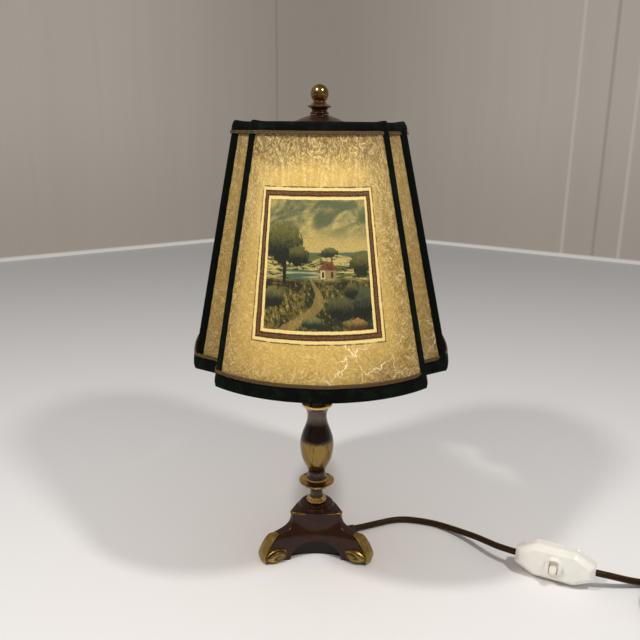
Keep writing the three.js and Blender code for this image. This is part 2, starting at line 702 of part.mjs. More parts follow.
const panelLow = shadeBottom + shade.bind + seat * 2;
const panelHigh = shadeTop - shade.bind - seat * 2;
const levelsBetween = (low, high) => Array.from(
  { length: shadeLevels + 1 }, (_, i) => mix(low, high, i / shadeLevels),
);
function panelPiece(name) {
  const half = shade.panel / 2;
  const levels = levelsBetween(panelLow, panelHigh);
  const side = (distance) => levels.map((z) => shifted(trimmed(runAt(name, z), shade.panel + seat), distance, z));
  const sides = [...side(half), ...side(-half).reverse()];
  return loft(sides[0].map((_, i) => sides.map((row) => row[i])));
}
Object.keys(panelRuns).forEach((name) => add(`shade_${name}`, panelPiece(name), 'parchment'));

// Wire frame inside the panels: two rings and a rib in each corner, welded
const wireIn = shade.panel / 2 + seat + shade.wire;
const lowWire = panelLow + shade.wire;
const topWire = panelHigh - shade.wire;

// A closed round wire along a loop of points
function wireLoop(points) {
  return loft(points.map((p, i) => {
    const before = points[(i + points.length - 1) % points.length];
    const after = points[(i + 1) % points.length];
    const way = after.clone().sub(before).normalize();
    const side = plain(way.y, -way.x, 0);
    return Array.from({ length: wireSides }, (_, j) => {
      const angle = (TURN * j) / wireSides;
      return p.clone()
        .addScaledVector(side, shade.wire * Math.cos(angle))
        .addScaledVector(UP, shade.wire * Math.sin(angle));
    });
  }), true);
}

function straightWire(from, to, radius = shade.wire) {
  return tubeAlong(new THREE.LineCurve3(from, to), radius, wireSides, 1);
}

function shadeFrame() {
  const low = shifted(outlineAt(lowWire), -wireIn, lowWire, true);
  const top = shifted(outlineAt(topWire), -wireIn, topWire, true);
  const ribs = [];
  let place = 0;
  Object.keys(panelRuns).forEach((name) => {
    const count = runAt(name, lowWire).length - 1;
    const marks = name.startsWith('corner') ? [0, 1] : [0];
    marks.forEach((mark) => ribs.push(straightWire(low[place + mark], top[place + mark])));
    place += count;
  });
  return join(wireLoop(low), wireLoop(top), ...ribs);
}
add('shade_frame', shadeFrame(), 'wire');

// Velvet binding round both edges, folded over the panels and the wire
function hemPiece(outerLow, outerHigh, innerLow, innerHigh, closedAt) {
  const out = shade.panel / 2 + seat;
  const inn = wireIn + shade.wire + seat;
  const bind = shade.bind;
  const fold = closedAt === 'low' ? outerLow + bind : outerHigh - bind;
  const edge = closedAt === 'low' ? outerLow : outerHigh;
  const outerEnd = closedAt === 'low' ? outerHigh : outerLow;
  const innerEnd = closedAt === 'low' ? innerHigh : innerLow;
  const section = [
    [out + bind, edge], [out + bind, outerEnd], [out, outerEnd], [out, fold],
    [-inn, fold], [-inn, innerEnd], [-inn - bind, innerEnd], [-inn - bind, edge],
  ];
  const rows = section.map(([distance, z]) => shifted(outlineAt(z), distance, z, true));
  return loft(rows[0].map((_, i) => rows.map((row) => row[i])), true);
}
const hemTop = shadeBottom + shade.hemHeight;
const topHemLow = shadeTop - shade.topHemHeight;
const armHeight = topWire - shade.wire * 2 - seat;
add('shade_hem_bottom', hemPiece(shadeBottom, hemTop, shadeBottom, hemTop, 'low'), 'velvet');
add('shade_hem_top', hemPiece(topHemLow, shadeTop, armHeight + shade.wire + seat * 2, shadeTop, 'high'), 'velvet');

// Velvet ribbons folded over the outward corners, between the two bindings
function ribbonPiece(before, after) {
  const level = (z) => {
    const first = runAt(before, z);
    const second = runAt(after, z);
    const corner = second[0];
    const away = (to, length) => corner.clone().addScaledVector(to.clone().sub(corner).normalize(), length);
    const run = [away(first[first.length - 2], shade.ribbonHalf), corner, away(second[1], shade.ribbonHalf)];
    const near = shade.panel / 2 + seat;
    return [...shifted(run, near + shade.ribbon, z), ...shifted(run, near, z).reverse()];
  };
  return loft(levelsBetween(hemTop + seat, topHemLow - seat).map(level));
}
const runNames = Object.keys(panelRuns);
const ribbonNames = [
  'front_right', 'outer_front_right', 'outer_back_right', 'back_right',
  'back_left', 'outer_back_left', 'outer_front_left', 'front_left',
];
ribbonNames.forEach((name, i) => {
  add(`shade_ribbon_${name}`, ribbonPiece(runNames[i], runNames[(i + 1) % runNames.length]), 'velvet');
});

// Spider: a washer on the harp's stud with four arms under the top wire
function spiderPiece() {
  const washerDisc = upright(spider.radius, spiderLow, spider.height, 24);
  const level = outlineAt(armHeight);
  const reachX = Math.max(...level.map((p) => p.x));
  const reachY = Math.max(...level.map((p) => p.y));
  const end = shade.panel / 2 + seat * 2;
  const arms = [[1, 0, reachX], [-1, 0, reachX], [0, 1, reachY], [0, -1, reachY]].map(([x, y, reach]) => {
    const way = plain(x, y, 0);
    const from = way.clone().multiplyScalar(spider.radius - overrun).setZ(spiderLow + spider.height / 2);
    return straightWire(from, way.clone().multiplyScalar(reach - end).setZ(armHeight));
  });
  return cut(join(washerDisc, ...arms), upright(harp.studRadius + seat, 0, shadeTop, 14));
}
add('shade_spider', spiderPiece(), 'wire');

// Cap dome and finial on the stud
const domeLow = spiderLow + spider.height + seat;
const stemBore = harp.studRadius + seat;
function domePiece() {
  const outer = scaled(domeShares, dome.radius, domeLow + dome.lift, dome.height - dome.lift);
  const inner = outer.slice(1, -1).map(([r, z]) => [r - dome.wall, z - dome.wall]).reverse();
  const rim = domeLow + dome.lift;
  return turned([
    ...outer, [stemBore, domeLow + dome.height], [stemBore, domeLow], [dome.hubRadius, domeLow],
    [dome.hubRadius, inner[0][1]], ...inner.slice(0, -1), [inner[inner.length - 1][0], rim], outer[0],
  ]);
}
add('cap_dome', domePiece(), 'lacquer');

const finialLow = domeLow + dome.height + seat;
function finialPiece() {
  const centre = finialLow + finial.height - finial.ballRadius;
  const neck = scaled(finialShares, finial.coreRadius, finialLow, finial.height);
  const start = -Math.acos(neck[neck.length - 1][0] / finial.ballRadius);
  const ball = Array.from({ length: ballSteps + 1 }, (_, i) => {
    const angle = start + ((Math.PI / 2 - start) * i) / ballSteps;
    return [finial.ballRadius * Math.cos(angle), centre + finial.ballRadius * Math.sin(angle)];
  });
  const studTop = harpTop + harp.bossHeight / 2 + harp.studHeight + seat;
  return turned([
    [stemBore, finialLow], ...neck, ...ball, [0, studTop], [stemBore, studTop], [stemBore, finialLow],
  ], 20);
}
add('finial', finialPiece(), 'polished');

// In-line switch, built level at the origin: X along the cord, Y from front to back, Z across
const gadgetGroup = new THREE.Group();
group.add(gadgetGroup);
const heading = radians(gadget.headingDegrees);
gadgetGroup.rotation.set(radians(gadget.leanDegrees) * -1, 0, heading, 'ZYX');
const gadgetWay = plain(Math.cos(heading), Math.sin(heading), 0);
const gadgetStartPoint = plain(gadgetStart.x, gadgetStart.y, gadget.cordHeight);
const gadgetMiddle = gadgetStartPoint.clone().addScaledVector(gadgetWay, gadget.length / 2);
gadgetGroup.position.copy(gadgetMiddle);

// The long six-sided outline, drawn in by a distance, at one depth
function gadgetRing(inset, depth) {
  const end = gadget.length / 2 - inset;
  const wide = gadget.width / 2 - inset;
  const narrow = gadget.endWidth / 2 - inset * 0.7;
  const shoulder = gadget.length * gadget.shoulderShare - inset * 0.3;
  return [
    [end, -narrow], [end, narrow], [shoulder, wide], [-shoulder, wide],
    [-end, narrow], [-end, -narrow], [-shoulder, -wide], [shoulder, -wide],
  ].map(([x, z]) => plain(x, depth, z));
}
const frontFace = -gadget.depth / 2;
const seam = gadget.depth / 2 - gadget.lid;
const acrossHole = (radius, length, x, depth, z, sides = 16) => new THREE.CylinderGeometry(radius, radius, length, sides)
  .translate(x, depth, z);
const alongRod = (radius, length, x, depth, z, sides = 12) => new THREE.CylinderGeometry(radius, radius, length, sides)
  .rotateZ(Math.PI / 2)
  .translate(x, depth, z);
const screwPlaces = [-1, 1].map((side) => [side * screw.place, -side * screw.offset]);
const pinDepth = frontFace + pinSetback;

// Depths of the contacts behind the lever's inner end
const bridgeSetback = lever.inner + seat + bridge.thick / 2;
const bridgeSweep = Math.hypot(bridgeSetback + bridge.thick / 2, bridge.height / 2);
const bladeDepth = pinDepth + bridgeSweep + seat + blade.thick / 2;
const bladePlace = bridge.half - blade.width / 2;

function gadgetHousing() {
  const shell = loft([
    gadgetRing(gadget.chamfer, frontFace), gadgetRing(0, frontFace + gadget.chamfer), gadgetRing(0, seam - seat / 2),
  ]);
  const hollow = loft([
    gadgetRing(gadget.wall * 2, frontFace + gadget.wall),
    gadgetRing(gadget.wall, frontFace + gadget.chamfer + gadget.wall),
    gadgetRing(gadget.wall, seam + overrun),
  ]);
  const hub = acrossHole(collar.radius, collar.depth, 0, frontFace - collar.height + collar.depth / 2, 0, 24);
  const bosses = screwPlaces.map(([x, z]) => acrossHole(
    screw.boss, seam - frontFace - gadget.wall - seat, x, (seam + frontFace + gadget.wall) / 2 - seat / 2, z,
  ));
  const slot = block(
    collar.slotHalf * 2, gadget.depth, collar.slotReach * 2,
    plain(0, frontFace - collar.height, 0),
  );
  const room = block(
    lever.pinHalf * 2 - overrun, gadget.wall * 4, collar.slotReach * 2,
    plain(0, frontFace + gadget.wall * 3, 0),
  );
  const pinHole = alongRod(lever.pinRadius + seat, (lever.pinHalf + seat) * 2, 0, pinDepth, 0);
  const screwHoles = screwPlaces.map(([x, z]) => acrossHole(screw.radius + seat, gadget.depth, x, seam + overrun, z, 12));
  const entry = alongRod(cord.radius + seat, gadget.length * 2, 0, 0, 0, 16);
  return cut(
    join(cut(shell, hollow), hub, ...bosses),
    slot, room, pinHole, ...screwHoles, cut(entry, block(gadget.length / 2, gadget.depth, gadget.width)),
  );
}

function gadgetLid() {
  const plate = loft([
    gadgetRing(0, seam + seat / 2), gadgetRing(0, gadget.depth / 2 - gadget.chamfer), gadgetRing(gadget.chamfer, gadget.depth / 2),
  ]);
  const pocket = loft([
    gadgetRing(gadget.wall, seam - overrun), gadgetRing(gadget.wall, gadget.depth / 2 - gadget.chamfer - seat),
  ]);
  const postLength = gadget.lid - gadget.wall;
  const posts = screwPlaces.map(([x, z]) => acrossHole(
    screw.boss, postLength, x, seam + seat / 2 + postLength / 2, z,
  ));
  const holes = screwPlaces.flatMap(([x, z]) => [
    acrossHole(screw.radius + seat, gadget.depth * 2, x, gadget.depth / 2, z, 12),
    acrossHole(screw.head + seat, (screw.headHeight + seat * 2) * 2, x, gadget.depth / 2, z),
  ]);
  const pegBack = gadget.depth / 2 - gadget.wall;
  const pegFront = bladeDepth + blade.thick / 2 + seat;
  const pegs = [-1, 1].map((side) => acrossHole(
    blade.peg, pegBack - pegFront, side * bladePlace, (pegBack + pegFront) / 2, -blade.drop, 12,
  ));
  return cut(join(cut(plate, pocket), ...posts, ...pegs), ...holes);
}

function gadgetScrew([x, z]) {
  const headOut = gadget.depth / 2 - seat;
  const profile = [
    [0, 0], [screw.head, 0], [screw.head, screw.headHeight], [screw.radius, screw.headHeight],
    [screw.radius, screw.length], [0, screw.length],
  ];
  return aimed(turned(profile, 12), plain(0, -1, 0), plain(x, headOut, z));
}

// Turns a piece built on the lever's pin to the lever's rest position
const swung = (geometry) => geometry.rotateX(-radians(lever.tiltDegrees)).translate(0, pinDepth, 0);

function leverPiece() {
  const rounding = 6;
  const shape = new THREE.Shape();
  shape.moveTo(-lever.half, -lever.inner);
  shape.lineTo(lever.half, -lever.inner);
  shape.lineTo(lever.half, lever.out - lever.half);
  shape.absarc(0, lever.out - lever.half, lever.half, 0, Math.PI, false);
  shape.closePath();
  const bat = new THREE.ExtrudeGeometry(shape, {
    depth: lever.thick * 2, bevelEnabled: false, curveSegments: rounding,
  }).translate(0, 0, -lever.thick).rotateX(Math.PI);
  const eye = alongRod(lever.pinRadius + seat, lever.half * 4, 0, 0, 0);
  return swung(cut(bat, eye));
}

add('switch_housing', gadgetHousing(), 'white', gadgetGroup);
add('switch_lid', gadgetLid(), 'white', gadgetGroup);
add('switch_lid_screw_left', gadgetScrew(screwPlaces[0]), 'steel', gadgetGroup);
add('switch_lid_screw_right', gadgetScrew(screwPlaces[1]), 'steel', gadgetGroup);
add('switch_lever', leverPiece(), 'white', gadgetGroup);
add('switch_lever_pin', alongRod(lever.pinRadius, lever.pinHalf * 2, 0, pinDepth, 0), 'steel', gadgetGroup);

// Contact bridge on the lever's inner end, and the two fixed contacts that it closes
add('switch_bridge', swung(block(
  bridge.half * 2, bridge.thick, bridge.height, plain(0, bridgeSetback, 0),
)), 'polished', gadgetGroup);
[['in', -1], ['out', 1]].forEach(([name, side]) => add(`switch_contact_${name}`, block(
  blade.width, blade.thick, blade.length, plain(side * bladePlace, bladeDepth, -blade.drop),
), 'polished', gadgetGroup));

// Cord over the table, in the loose curve of the photograph
const lampToSwitch = [
  [45.4, 25, 3.5], [53.5, 29.1, 3.1], [62, 33, 2.9], [70.6, 36.4, 2.9], [79.3, 38.6, 2.9],
  [88.4, 38.8, 2.9], [97.3, 37.2, 2.9], [106.4, 34.7, 2.9], [115, 31.1, 3], [123.2, 25.6, 3.6],
  [131, 18.5, 4.8], [138.2, 10.3, 6.6], [145, 1.6, 8.8], [151.4, -7.8, 10.8], [157.7, -16.8, 12.6],
  [162.3, -22.5, 13.7], [167.4, -27.5, 14.7],
];
const toPoint = ([x, y, z]) => plain(x, y, z);
const gadgetEnd = gadgetStartPoint.clone().addScaledVector(gadgetWay, gadget.length);
const cordWidth = cord.radius * 2;
function lampToSwitchCurve() {
  const start = sleeveTip.clone().addScaledVector(slope, seat / 2);
  const end = gadgetStartPoint.clone().addScaledVector(gadgetWay, -seat);
  return new THREE.CatmullRomCurve3([
    start, start.clone().addScaledVector(slope, cord.radius), ...lampToSwitch.map(toPoint),
    end.clone().addScaledVector(gadgetWay, -cord.radius), end,
  ], false, 'centripetal');
}
add('cord_lamp_to_switch', cordTube(lampToSwitchCurve()), 'cord');

// Coil: in on the lower layer, up a layer in the half turn at the middle, out on the upper one
const coilOuter = coil.inner + coil.turns * coil.pitch;
const coilTop = coil.lowHeight + coil.pitch;
const climbTurns = 0.5;
const coilTurns = coil.turns * 2 + climbTurns;

// Point of the coil after a number of turns; it leans a little on its tie, under one side
function coilPoint(turns) {
  const middle = coilTurns / 2;
  const climb = THREE.MathUtils.smoothstep(turns, coil.turns, coil.turns + climbTurns);
  const radius = coilOuter - (middle - Math.abs(turns - middle)) * coil.pitch;
  const angle = Math.PI / 2 - turns * TURN;
  const lean = coil.lift * (radius / coilOuter) * Math.cos(angle - radians(tie.degrees));
  return plain(
    coil.x + radius * Math.cos(angle),
    coil.y + radius * Math.sin(angle),
    coil.lowHeight + climb * coil.pitch + lean,
  );
}

// The coil's tube, with its ends run straight for one cord width
function coilPath() {
  const steps = Math.ceil(coilTurns * coil.steps);
  const turnsOnly = Array.from({ length: steps + 1 }, (_, i) => coilPoint((coilTurns * i) / steps));
  const first = turnsOnly[0].clone().add(plain(-cordWidth, 0, 0));
  const last = turnsOnly[steps].clone().add(plain(0, -cordWidth, 0));
  return { curve: new THREE.CatmullRomCurve3([first, ...turnsOnly, last], false, 'centripetal'), steps: steps + 2 };
}

// Least gap of a path to itself, over stretches more than half a turn apart
function leastGap(points) {
  const apart = Math.floor(coil.steps / 2);
  let least = Infinity;
  for (let i = 0; i < points.length; i += 1) {
    for (let j = i + apart; j < points.length; j += 1) least = Math.min(least, points[i].distanceTo(points[j]));
  }
  return least - cordWidth;
}
const { curve: woundCurve, steps: woundSteps } = coilPath();
console.log(`coil: least gap to itself ${leastGap(woundCurve.getPoints(woundSteps * 3)).toFixed(2)} mm`);
add('cord_coil', tubeAlong(woundCurve, cord.radius, wireSides, woundSteps), 'cord');

const coilStart = woundCurve.getPoint(0);
const coilEnd = woundCurve.getPoint(1);
const switchToCoil = [
  [236.4, -61.4, 14.7], [243.9, -61.6, 13], [252.4, -60.7, 10.3], [260.8, -59.4, 7.5],
  [269.4, -58.2, 5.2], [278.4, -57.2, 4.1], [287.5, -56.5, 3.9],
];
function switchToCoilCurve() {
  const start = gadgetEnd.clone().addScaledVector(gadgetWay, seat);
  const end = coilStart.clone().add(plain(-seat, 0, 0));
  return new THREE.CatmullRomCurve3([
    start, start.clone().addScaledVector(gadgetWay, cord.radius / 2), ...switchToCoil.map(toPoint),
    end.clone().add(plain(-cord.radius, 0, 0)), end,
  ], false, 'centripetal');
}
add('cord_switch_to_coil', cordTube(switchToCoilCurve()), 'cord');

// Tie round the coil's turns
function tiePiece() {
  const inner = coil.inner - cord.radius - seat;
  const outer = coilOuter + cord.radius + seat;
  const low = coil.lowHeight + coil.lift / 2 - cord.radius - seat;
  const high = coilTop + coil.lift + cord.radius + seat;
  const band = block(
    outer - inner + tie.thick * 2, tie.width, high - low + tie.thick * 2,
    plain((outer + inner) / 2, 0, (high + low) / 2),
  );
  const hole = block(outer - inner, tie.width * 2, high - low, plain((outer + inner) / 2, 0, (high + low) / 2));
  return cut(band, hole).rotateZ(radians(tie.degrees)).translate(coil.x, coil.y, 0);
}
add('coil_tie', tiePiece(), 'velvet');

// Plug: built along +X from its cord end, then turned to lie beside the coil
const plugGroup = new THREE.Group();
group.add(plugGroup);
plugGroup.rotation.z = -Math.PI / 2;
const plugLead = 40;
const plugShift = 7;
const plugHeight = plug.height / 2 + seat;
plugGroup.position.set(coilEnd.x + plugShift, coilEnd.y - plugLead - seat * 2, 0);
const plugShares = [[0, 0.16, 0.7], [0.12, 0.34, 0.86], [0.38, 0.78, 1], [0.6, 0.96, 1], [1, 1, 1]];
function plugBody() {
  const section = (x, half, tall) => {
    const bevel = plug.height / 5;
    const h = tall / 2;
    return [
      [-half, -h + bevel], [-half + bevel, -h], [half - bevel, -h], [half, -h + bevel],
      [half, h - bevel], [half - bevel, h], [-half + bevel, h], [-half, h - bevel],
    ].map(([y, z]) => plain(x, y, plugHeight + z));
  };
  const body = loft(plugShares.map(([along, wide, tall]) => section(
    plug.neck + along * plug.length, (wide * plug.width) / 2, tall * plug.height,
  )));
  const neck = aimed(
    turned([[0, 0], [plug.tipRadius, 0], [plug.neckRadius, plug.neck], [plug.neckRadius, plug.neck * 1.3], [0, plug.neck * 1.3]], 14),
    plain(1, 0, 0), plain(0, 0, plugHeight),
  );
  const sockets = [-1, 1].map((side) => alongRod(
    pin.radius + seat, plug.length, plug.neck + plug.length, side * (pin.spacing / 2), plugHeight,
  ));
  return cut(join(body, neck), ...sockets);
}
add('plug_body', plugBody(), 'white', plugGroup);
[['left', 1], ['right', -1]].forEach(([name, side]) => add(`plug_pin_${name}`, alongRod(
  pin.radius, pin.length + plug.length / 3,
  plug.neck + plug.length + (pin.length - plug.length / 3) / 2, side * (pin.spacing / 2), plugHeight,
), 'polished', plugGroup));

function coilToPlugCurve() {
  const start = coilEnd.clone().add(plain(0, -seat, 0));
  const end = plain(coilEnd.x + plugShift, coilEnd.y - plugLead - seat, plugHeight);
  const way = end.clone().sub(start);
  const steps = 6;
  const route = Array.from({ length: steps - 1 }, (_, i) => {
    const share = (i + 1) / steps;
    const eased = THREE.MathUtils.smoothstep(share, 0, 1);
    return start.clone().add(plain(way.x * eased, way.y * share, way.z * eased));
  });
  return new THREE.CatmullRomCurve3([start, ...route, end], false, 'centripetal');
}
add('cord_coil_to_plug', cordTube(coilToPlugCurve()), 'cord');

export default group;
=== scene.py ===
import math

import bmesh
import bpy
import numpy as np
from mathutils import Matrix, Vector, noise


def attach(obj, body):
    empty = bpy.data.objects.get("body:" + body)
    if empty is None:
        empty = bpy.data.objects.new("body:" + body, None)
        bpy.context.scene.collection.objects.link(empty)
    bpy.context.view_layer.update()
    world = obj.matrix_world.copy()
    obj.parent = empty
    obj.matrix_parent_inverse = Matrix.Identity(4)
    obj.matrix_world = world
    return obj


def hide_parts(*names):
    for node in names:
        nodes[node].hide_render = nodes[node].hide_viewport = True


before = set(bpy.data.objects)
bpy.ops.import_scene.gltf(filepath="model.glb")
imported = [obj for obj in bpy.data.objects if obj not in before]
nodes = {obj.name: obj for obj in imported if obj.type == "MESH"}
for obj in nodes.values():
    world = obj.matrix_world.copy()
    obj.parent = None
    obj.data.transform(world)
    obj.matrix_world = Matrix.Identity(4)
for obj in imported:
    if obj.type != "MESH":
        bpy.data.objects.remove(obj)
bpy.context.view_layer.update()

# Lengths below are in millimetres, in the CAD frame; pieces are scaled to metres as they are made
MM = 0.001
TURN = 2 * math.pi
# The gap between pieces that meet, and the radius that stands for a point on the axis of a turned piece
SEAT = 0.3
POINT = 1e-4


# Shapes

def vec(*numbers):
    return np.array(numbers, float)


def unit(v):
    return v / max(np.linalg.norm(v), 1e-9)


def direction(angle):
    return vec(math.cos(angle), math.sin(angle), 0)


def ease(share):
    share = min(max(share, 0.0), 1.0)
    return share * share * (3 - 2 * share)


def lerp(a, b, share):
    return a + (b - a) * share


def circle(sides):
    """Cosine and sine of equal steps once round."""
    return [(math.cos(TURN * j / sides), math.sin(TURN * j / sides)) for j in range(sides)]


def squared_ring(half, tall, power, sides):
    """A ring of (x, z) points between an ellipse, at power 2, and its box."""
    made = []
    for x, z in circle(sides):
        reach = (abs(x / half) ** power + abs(z / tall) ** power) ** (-1 / power)
        made.append((x * reach, z * reach))
    return made


def spline(points, share):
    """Centripetal Catmull-Rom curve through points, with a number of points for each stretch."""
    points = [np.array(p, float) for p in points]
    points = [2 * points[0] - points[1], *points, 2 * points[-1] - points[-2]]
    made = []
    for p0, p1, p2, p3 in zip(points, points[1:], points[2:], points[3:]):
        d0, d1, d2 = (max(np.linalg.norm(b - a), 1e-6) ** 0.5 for a, b in ((p0, p1), (p1, p2), (p2, p3)))
        out = ((p1 - p0) / d0 - (p2 - p0) / (d0 + d1) + (p2 - p1) / d1) * d1
        into = ((p2 - p1) / d1 - (p3 - p1) / (d1 + d2) + (p3 - p2) / d2) * d1
        for k in range(share):
            t = k / share
            made.append(
                (2 * t**3 - 3 * t**2 + 1) * p1 + (t**3 - 2 * t**2 + t) * out
                + (3 * t**2 - 2 * t**3) * p2 + (t**3 - t**2) * into
            )
    return [*made, points[-2]]


def grid(rows, round_rows=False):
    """Points and faces of equal closed rows of points, joined in order; the ends get a cap each."""
    count = len(rows[0])
    points = [p for row in rows for p in row]
    faces = []
    for i in range(len(rows) if round_rows else len(rows) - 1):
        a, b = i * count, ((i + 1) % len(rows)) * count
        for j in range(count):
            k = (j + 1) % count
            faces.append((a + j, a + k, b + k, b + j))
    if not round_rows:
        faces.append(tuple(range(count))[::-1])
        faces.append(tuple(range(len(points) - count, len(points))))
    return points, faces


def add_object(name, data):
    made = bpy.data.objects.new(name, data)
    bpy.context.scene.collection.objects.link(made)
    return made


def piece(name, shape, body, material, replaces, sharp=40, place=None):
    """One closed piece from its points and faces; it rides on a body and may stand for CAD nodes."""
    points, faces = shape
    mesh = bpy.data.meshes.new(name)
    mesh.from_pydata([tuple(float(c) * MM for c in p) for p in points], [], faces)
    if place is not None:
        mesh.transform(place)
    work = bmesh.new()
    work.from_mesh(mesh)
    bmesh.ops.remove_doubles(work, verts=work.verts, dist=1e-6)
    bmesh.ops.recalc_face_normals(work, faces=work.faces)
    work.to_mesh(mesh)
    work.free()
    mesh.polygons.foreach_set("use_smooth", [True] * len(mesh.polygons))
    mesh.set_sharp_from_angle(angle=math.radians(sharp))
    mesh.materials.append(material)
    made = add_object(name, mesh)
    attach(made, body)
    if replaces:
        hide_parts(*replaces)
    return made


def dress(material, *names):
    """CAD nodes whose shape is right keep it and get a better material."""
    for name in names:
        nodes[name].data.materials.clear()
        nodes[name].data.materials.append(material)


def lathe(profile, sides):
    """Turned body from (radius, height) points; a profile that starts and ends on the axis closes there."""
    rows = [[vec(max(r, POINT) * x, max(r, POINT) * y, z) for x, y in circle(sides)] for r, z in profile]
    return grid(rows, round_rows=profile[0][0] > 0.01)


def tube(path, radius, sides=16):
    """Round tube along a path."""
    path = [np.array(p, float) for p in path]
    ways = [unit(path[min(i + 1, len(path) - 1)] - path[max(i - 1, 0)]) for i in range(len(path))]
    side = unit(np.cross(ways[0], vec(0, 0, 1) if abs(ways[0][2]) < 0.9 else vec(0, 1, 0)))
    rows = []
    for p, way in zip(path, ways):
        side = unit(side - way * side.dot(way))
        up = np.cross(way, side)
        rows.append([p + radius * (x * side + y * up) for x, y in circle(sides)])
    return grid(rows)


def joined(*shapes):
    points, faces = [], []
    for more_points, more_faces in shapes:
        start = len(points)
        points += list(more_points)
        faces += [tuple(i + start for i in face) for face in more_faces]
    return points, faces


def scaled(shares, radius, low, height):
    """(radius, height) points from shares of a radius and of a height."""
    return [(r * radius, low + z * height) for r, z in shares]


def beads(points, share=5):
    """A smooth profile through (radius, height) points."""
    return [(float(p[0]), float(p[1])) for p in spline([vec(r, z) for r, z in points], share)]


def paint(obj, name, values, kind="FLOAT"):
    layer = obj.data.attributes.new(name, kind, "POINT")
    layer.data.foreach_set("value" if kind == "FLOAT" else "vector", np.array(values, np.float32).ravel())


def places(obj):
    """Every vertex of a piece, in millimetres."""
    return np.array([v.co for v in obj.data.vertices], float).reshape(-1, 3) / MM


# Materials

def tone(*numbers):
    """A colour as the photograph shows it (0 to 255) for a shader."""
    shares = (c / 255 for c in numbers)
    return (*(((v + 0.055) / 1.055) ** 2.4 if v > 10 / 255 else v / 12.92 for v in shares), 1.0)


def arithmetic(operation, swapped=False):
    def apply(self, other):
        pair = (other, self) if swapped else (self, other)
        return self.shader.math(operation, *pair)

    return apply


class Term:
    """A value that a node gives; plain arithmetic on it adds Math nodes."""

    def __init__(self, shader, socket):
        self.shader, self.socket = shader, socket

    def __abs__(self):
        return self.shader.math("ABSOLUTE", self)

    __add__, __radd__ = arithmetic("ADD"), arithmetic("ADD", True)
    __sub__, __rsub__ = arithmetic("SUBTRACT"), arithmetic("SUBTRACT", True)
    __mul__, __truediv__ = arithmetic("MULTIPLY"), arithmetic("DIVIDE")


class Shader:
    """A material with a Principled surface, and short ways to add nodes to it."""

    def __init__(self, name):
        self.material = bpy.data.materials.new(name)
        self.material.use_nodes = True
        self.tree = self.material.node_tree
        self.tree.nodes.clear()
        self.surface = self.tree.nodes.new("ShaderNodeBsdfPrincipled")
        self.output = self.tree.nodes.new("ShaderNodeOutputMaterial")
        self.put(self.output.inputs[0], self.surface.outputs[0])

    def put(self, socket, value):
        """Link or set a socket; a colour may be given as three numbers from 0 to 255."""
        value = getattr(value, "socket", value)
        if isinstance(value, bpy.types.NodeSocket):
            self.tree.links.new(value, socket)
        elif socket.type == "RGBA" and len(value) == 3:
            socket.default_value = tone(*value)
        else:
            socket.default_value = value

    def node(self, kind, inputs, output=0, **settings):
        made = self.tree.nodes.new("ShaderNode" + kind)
        for key, value in settings.items():
            setattr(made, key, value)
        for key, value in inputs.items():
            self.put(made.inputs[key], value)
        return Term(self, made.outputs[output])

    def math(self, operation, a, b=0.0):
        return self.node("Math", {0: a, 1: b, 2: 0.0}, operation=operation)

    def sine(self, value):
        return self.math("SINE", value)

    def most(self, first, *others):
        for other in others:
            first = self.math("MAXIMUM", first, other)
        return first

    def span(self, value, low, high, to_low=0.0, to_high=1.0):
        """A smooth step: to_low where the value is low, to_high where it is high."""
        inputs = {0: value, 1: low, 2: high, 3: to_low, 4: to_high}
        return self.node("MapRange", inputs, interpolation_type="SMOOTHSTEP")

    def mix(self, share, a, b, way="MIX"):
        return self.node("Mix", {0: share, 6: a, 7: b}, output=2, data_type="RGBA", blend_type=way)

    def layers(self, colour, *coats):
        """Coats of (share, colour), laid over a colour in turn."""
        for share, coat in coats:
            colour = self.mix(share, colour, coat)
        return colour

    def vector(self, x, y, z=0.0):
        return self.node("CombineXYZ", {0: x, 1: y, 2: z})

    def parts(self, vector):
        made = self.tree.nodes.new("ShaderNodeSeparateXYZ")
        self.put(made.inputs[0], vector)
        return [Term(self, socket) for socket in made.outputs]

    def stretched(self, vector, x, y, z):
        return self.node("VectorMath", {0: vector, 1: (x, y, z)}, operation="MULTIPLY")

    def place(self):
        """The point on the piece, in millimetres, fixed to the piece."""
        return self.stretched(self.node("TexCoord", {}, "Object"), 1 / MM, 1 / MM, 1 / MM)

    def stored(self, name, output="Fac"):
        return self.node("Attribute", {}, output, attribute_name=name)

    def noise(self, vector, scale, detail=3.0, roughness=0.5, distortion=0.0):
        inputs = {"Scale": scale, "Detail": detail, "Roughness": roughness, "Distortion": distortion}
        return self.node("TexNoise", {"Vector": vector, **inputs})

    def cells(self, vector, scale, feature):
        return self.node("TexVoronoi", {"Vector": vector, "Scale": scale}, "Distance", feature=feature)

    def bump(self, height, strength, distance):
        return self.node("Bump", {"Height": height, "Strength": strength, "Distance": distance * MM})

    def gloss(self, place, scale, low, high):
        """Roughness that drifts between two values over the surface."""
        return self.span(self.noise(place, scale, 4), 0.3, 0.75, low, high)

    def finish(self, **inputs):
        for key, value in inputs.items():
            self.put(self.surface.inputs[key.replace("_", " ")], value)
        return self.material


def plastic(name, light, dark, roughness, coat=0.15):
    s = Shader(name)
    place = s.place()
    return s.finish(
        Base_Color=s.mix(s.span(s.noise(place, 0.09, 4), 0.35, 0.7), dark, light),
        Roughness=s.span(s.noise(place, 0.35, 3), 0.3, 0.7, roughness - 0.05, roughness + 0.06),
        Coat_Weight=coat, Coat_Roughness=0.12,
        Normal=s.bump(s.noise(place, 1.2, 2), 0.04, 0.15),
    )


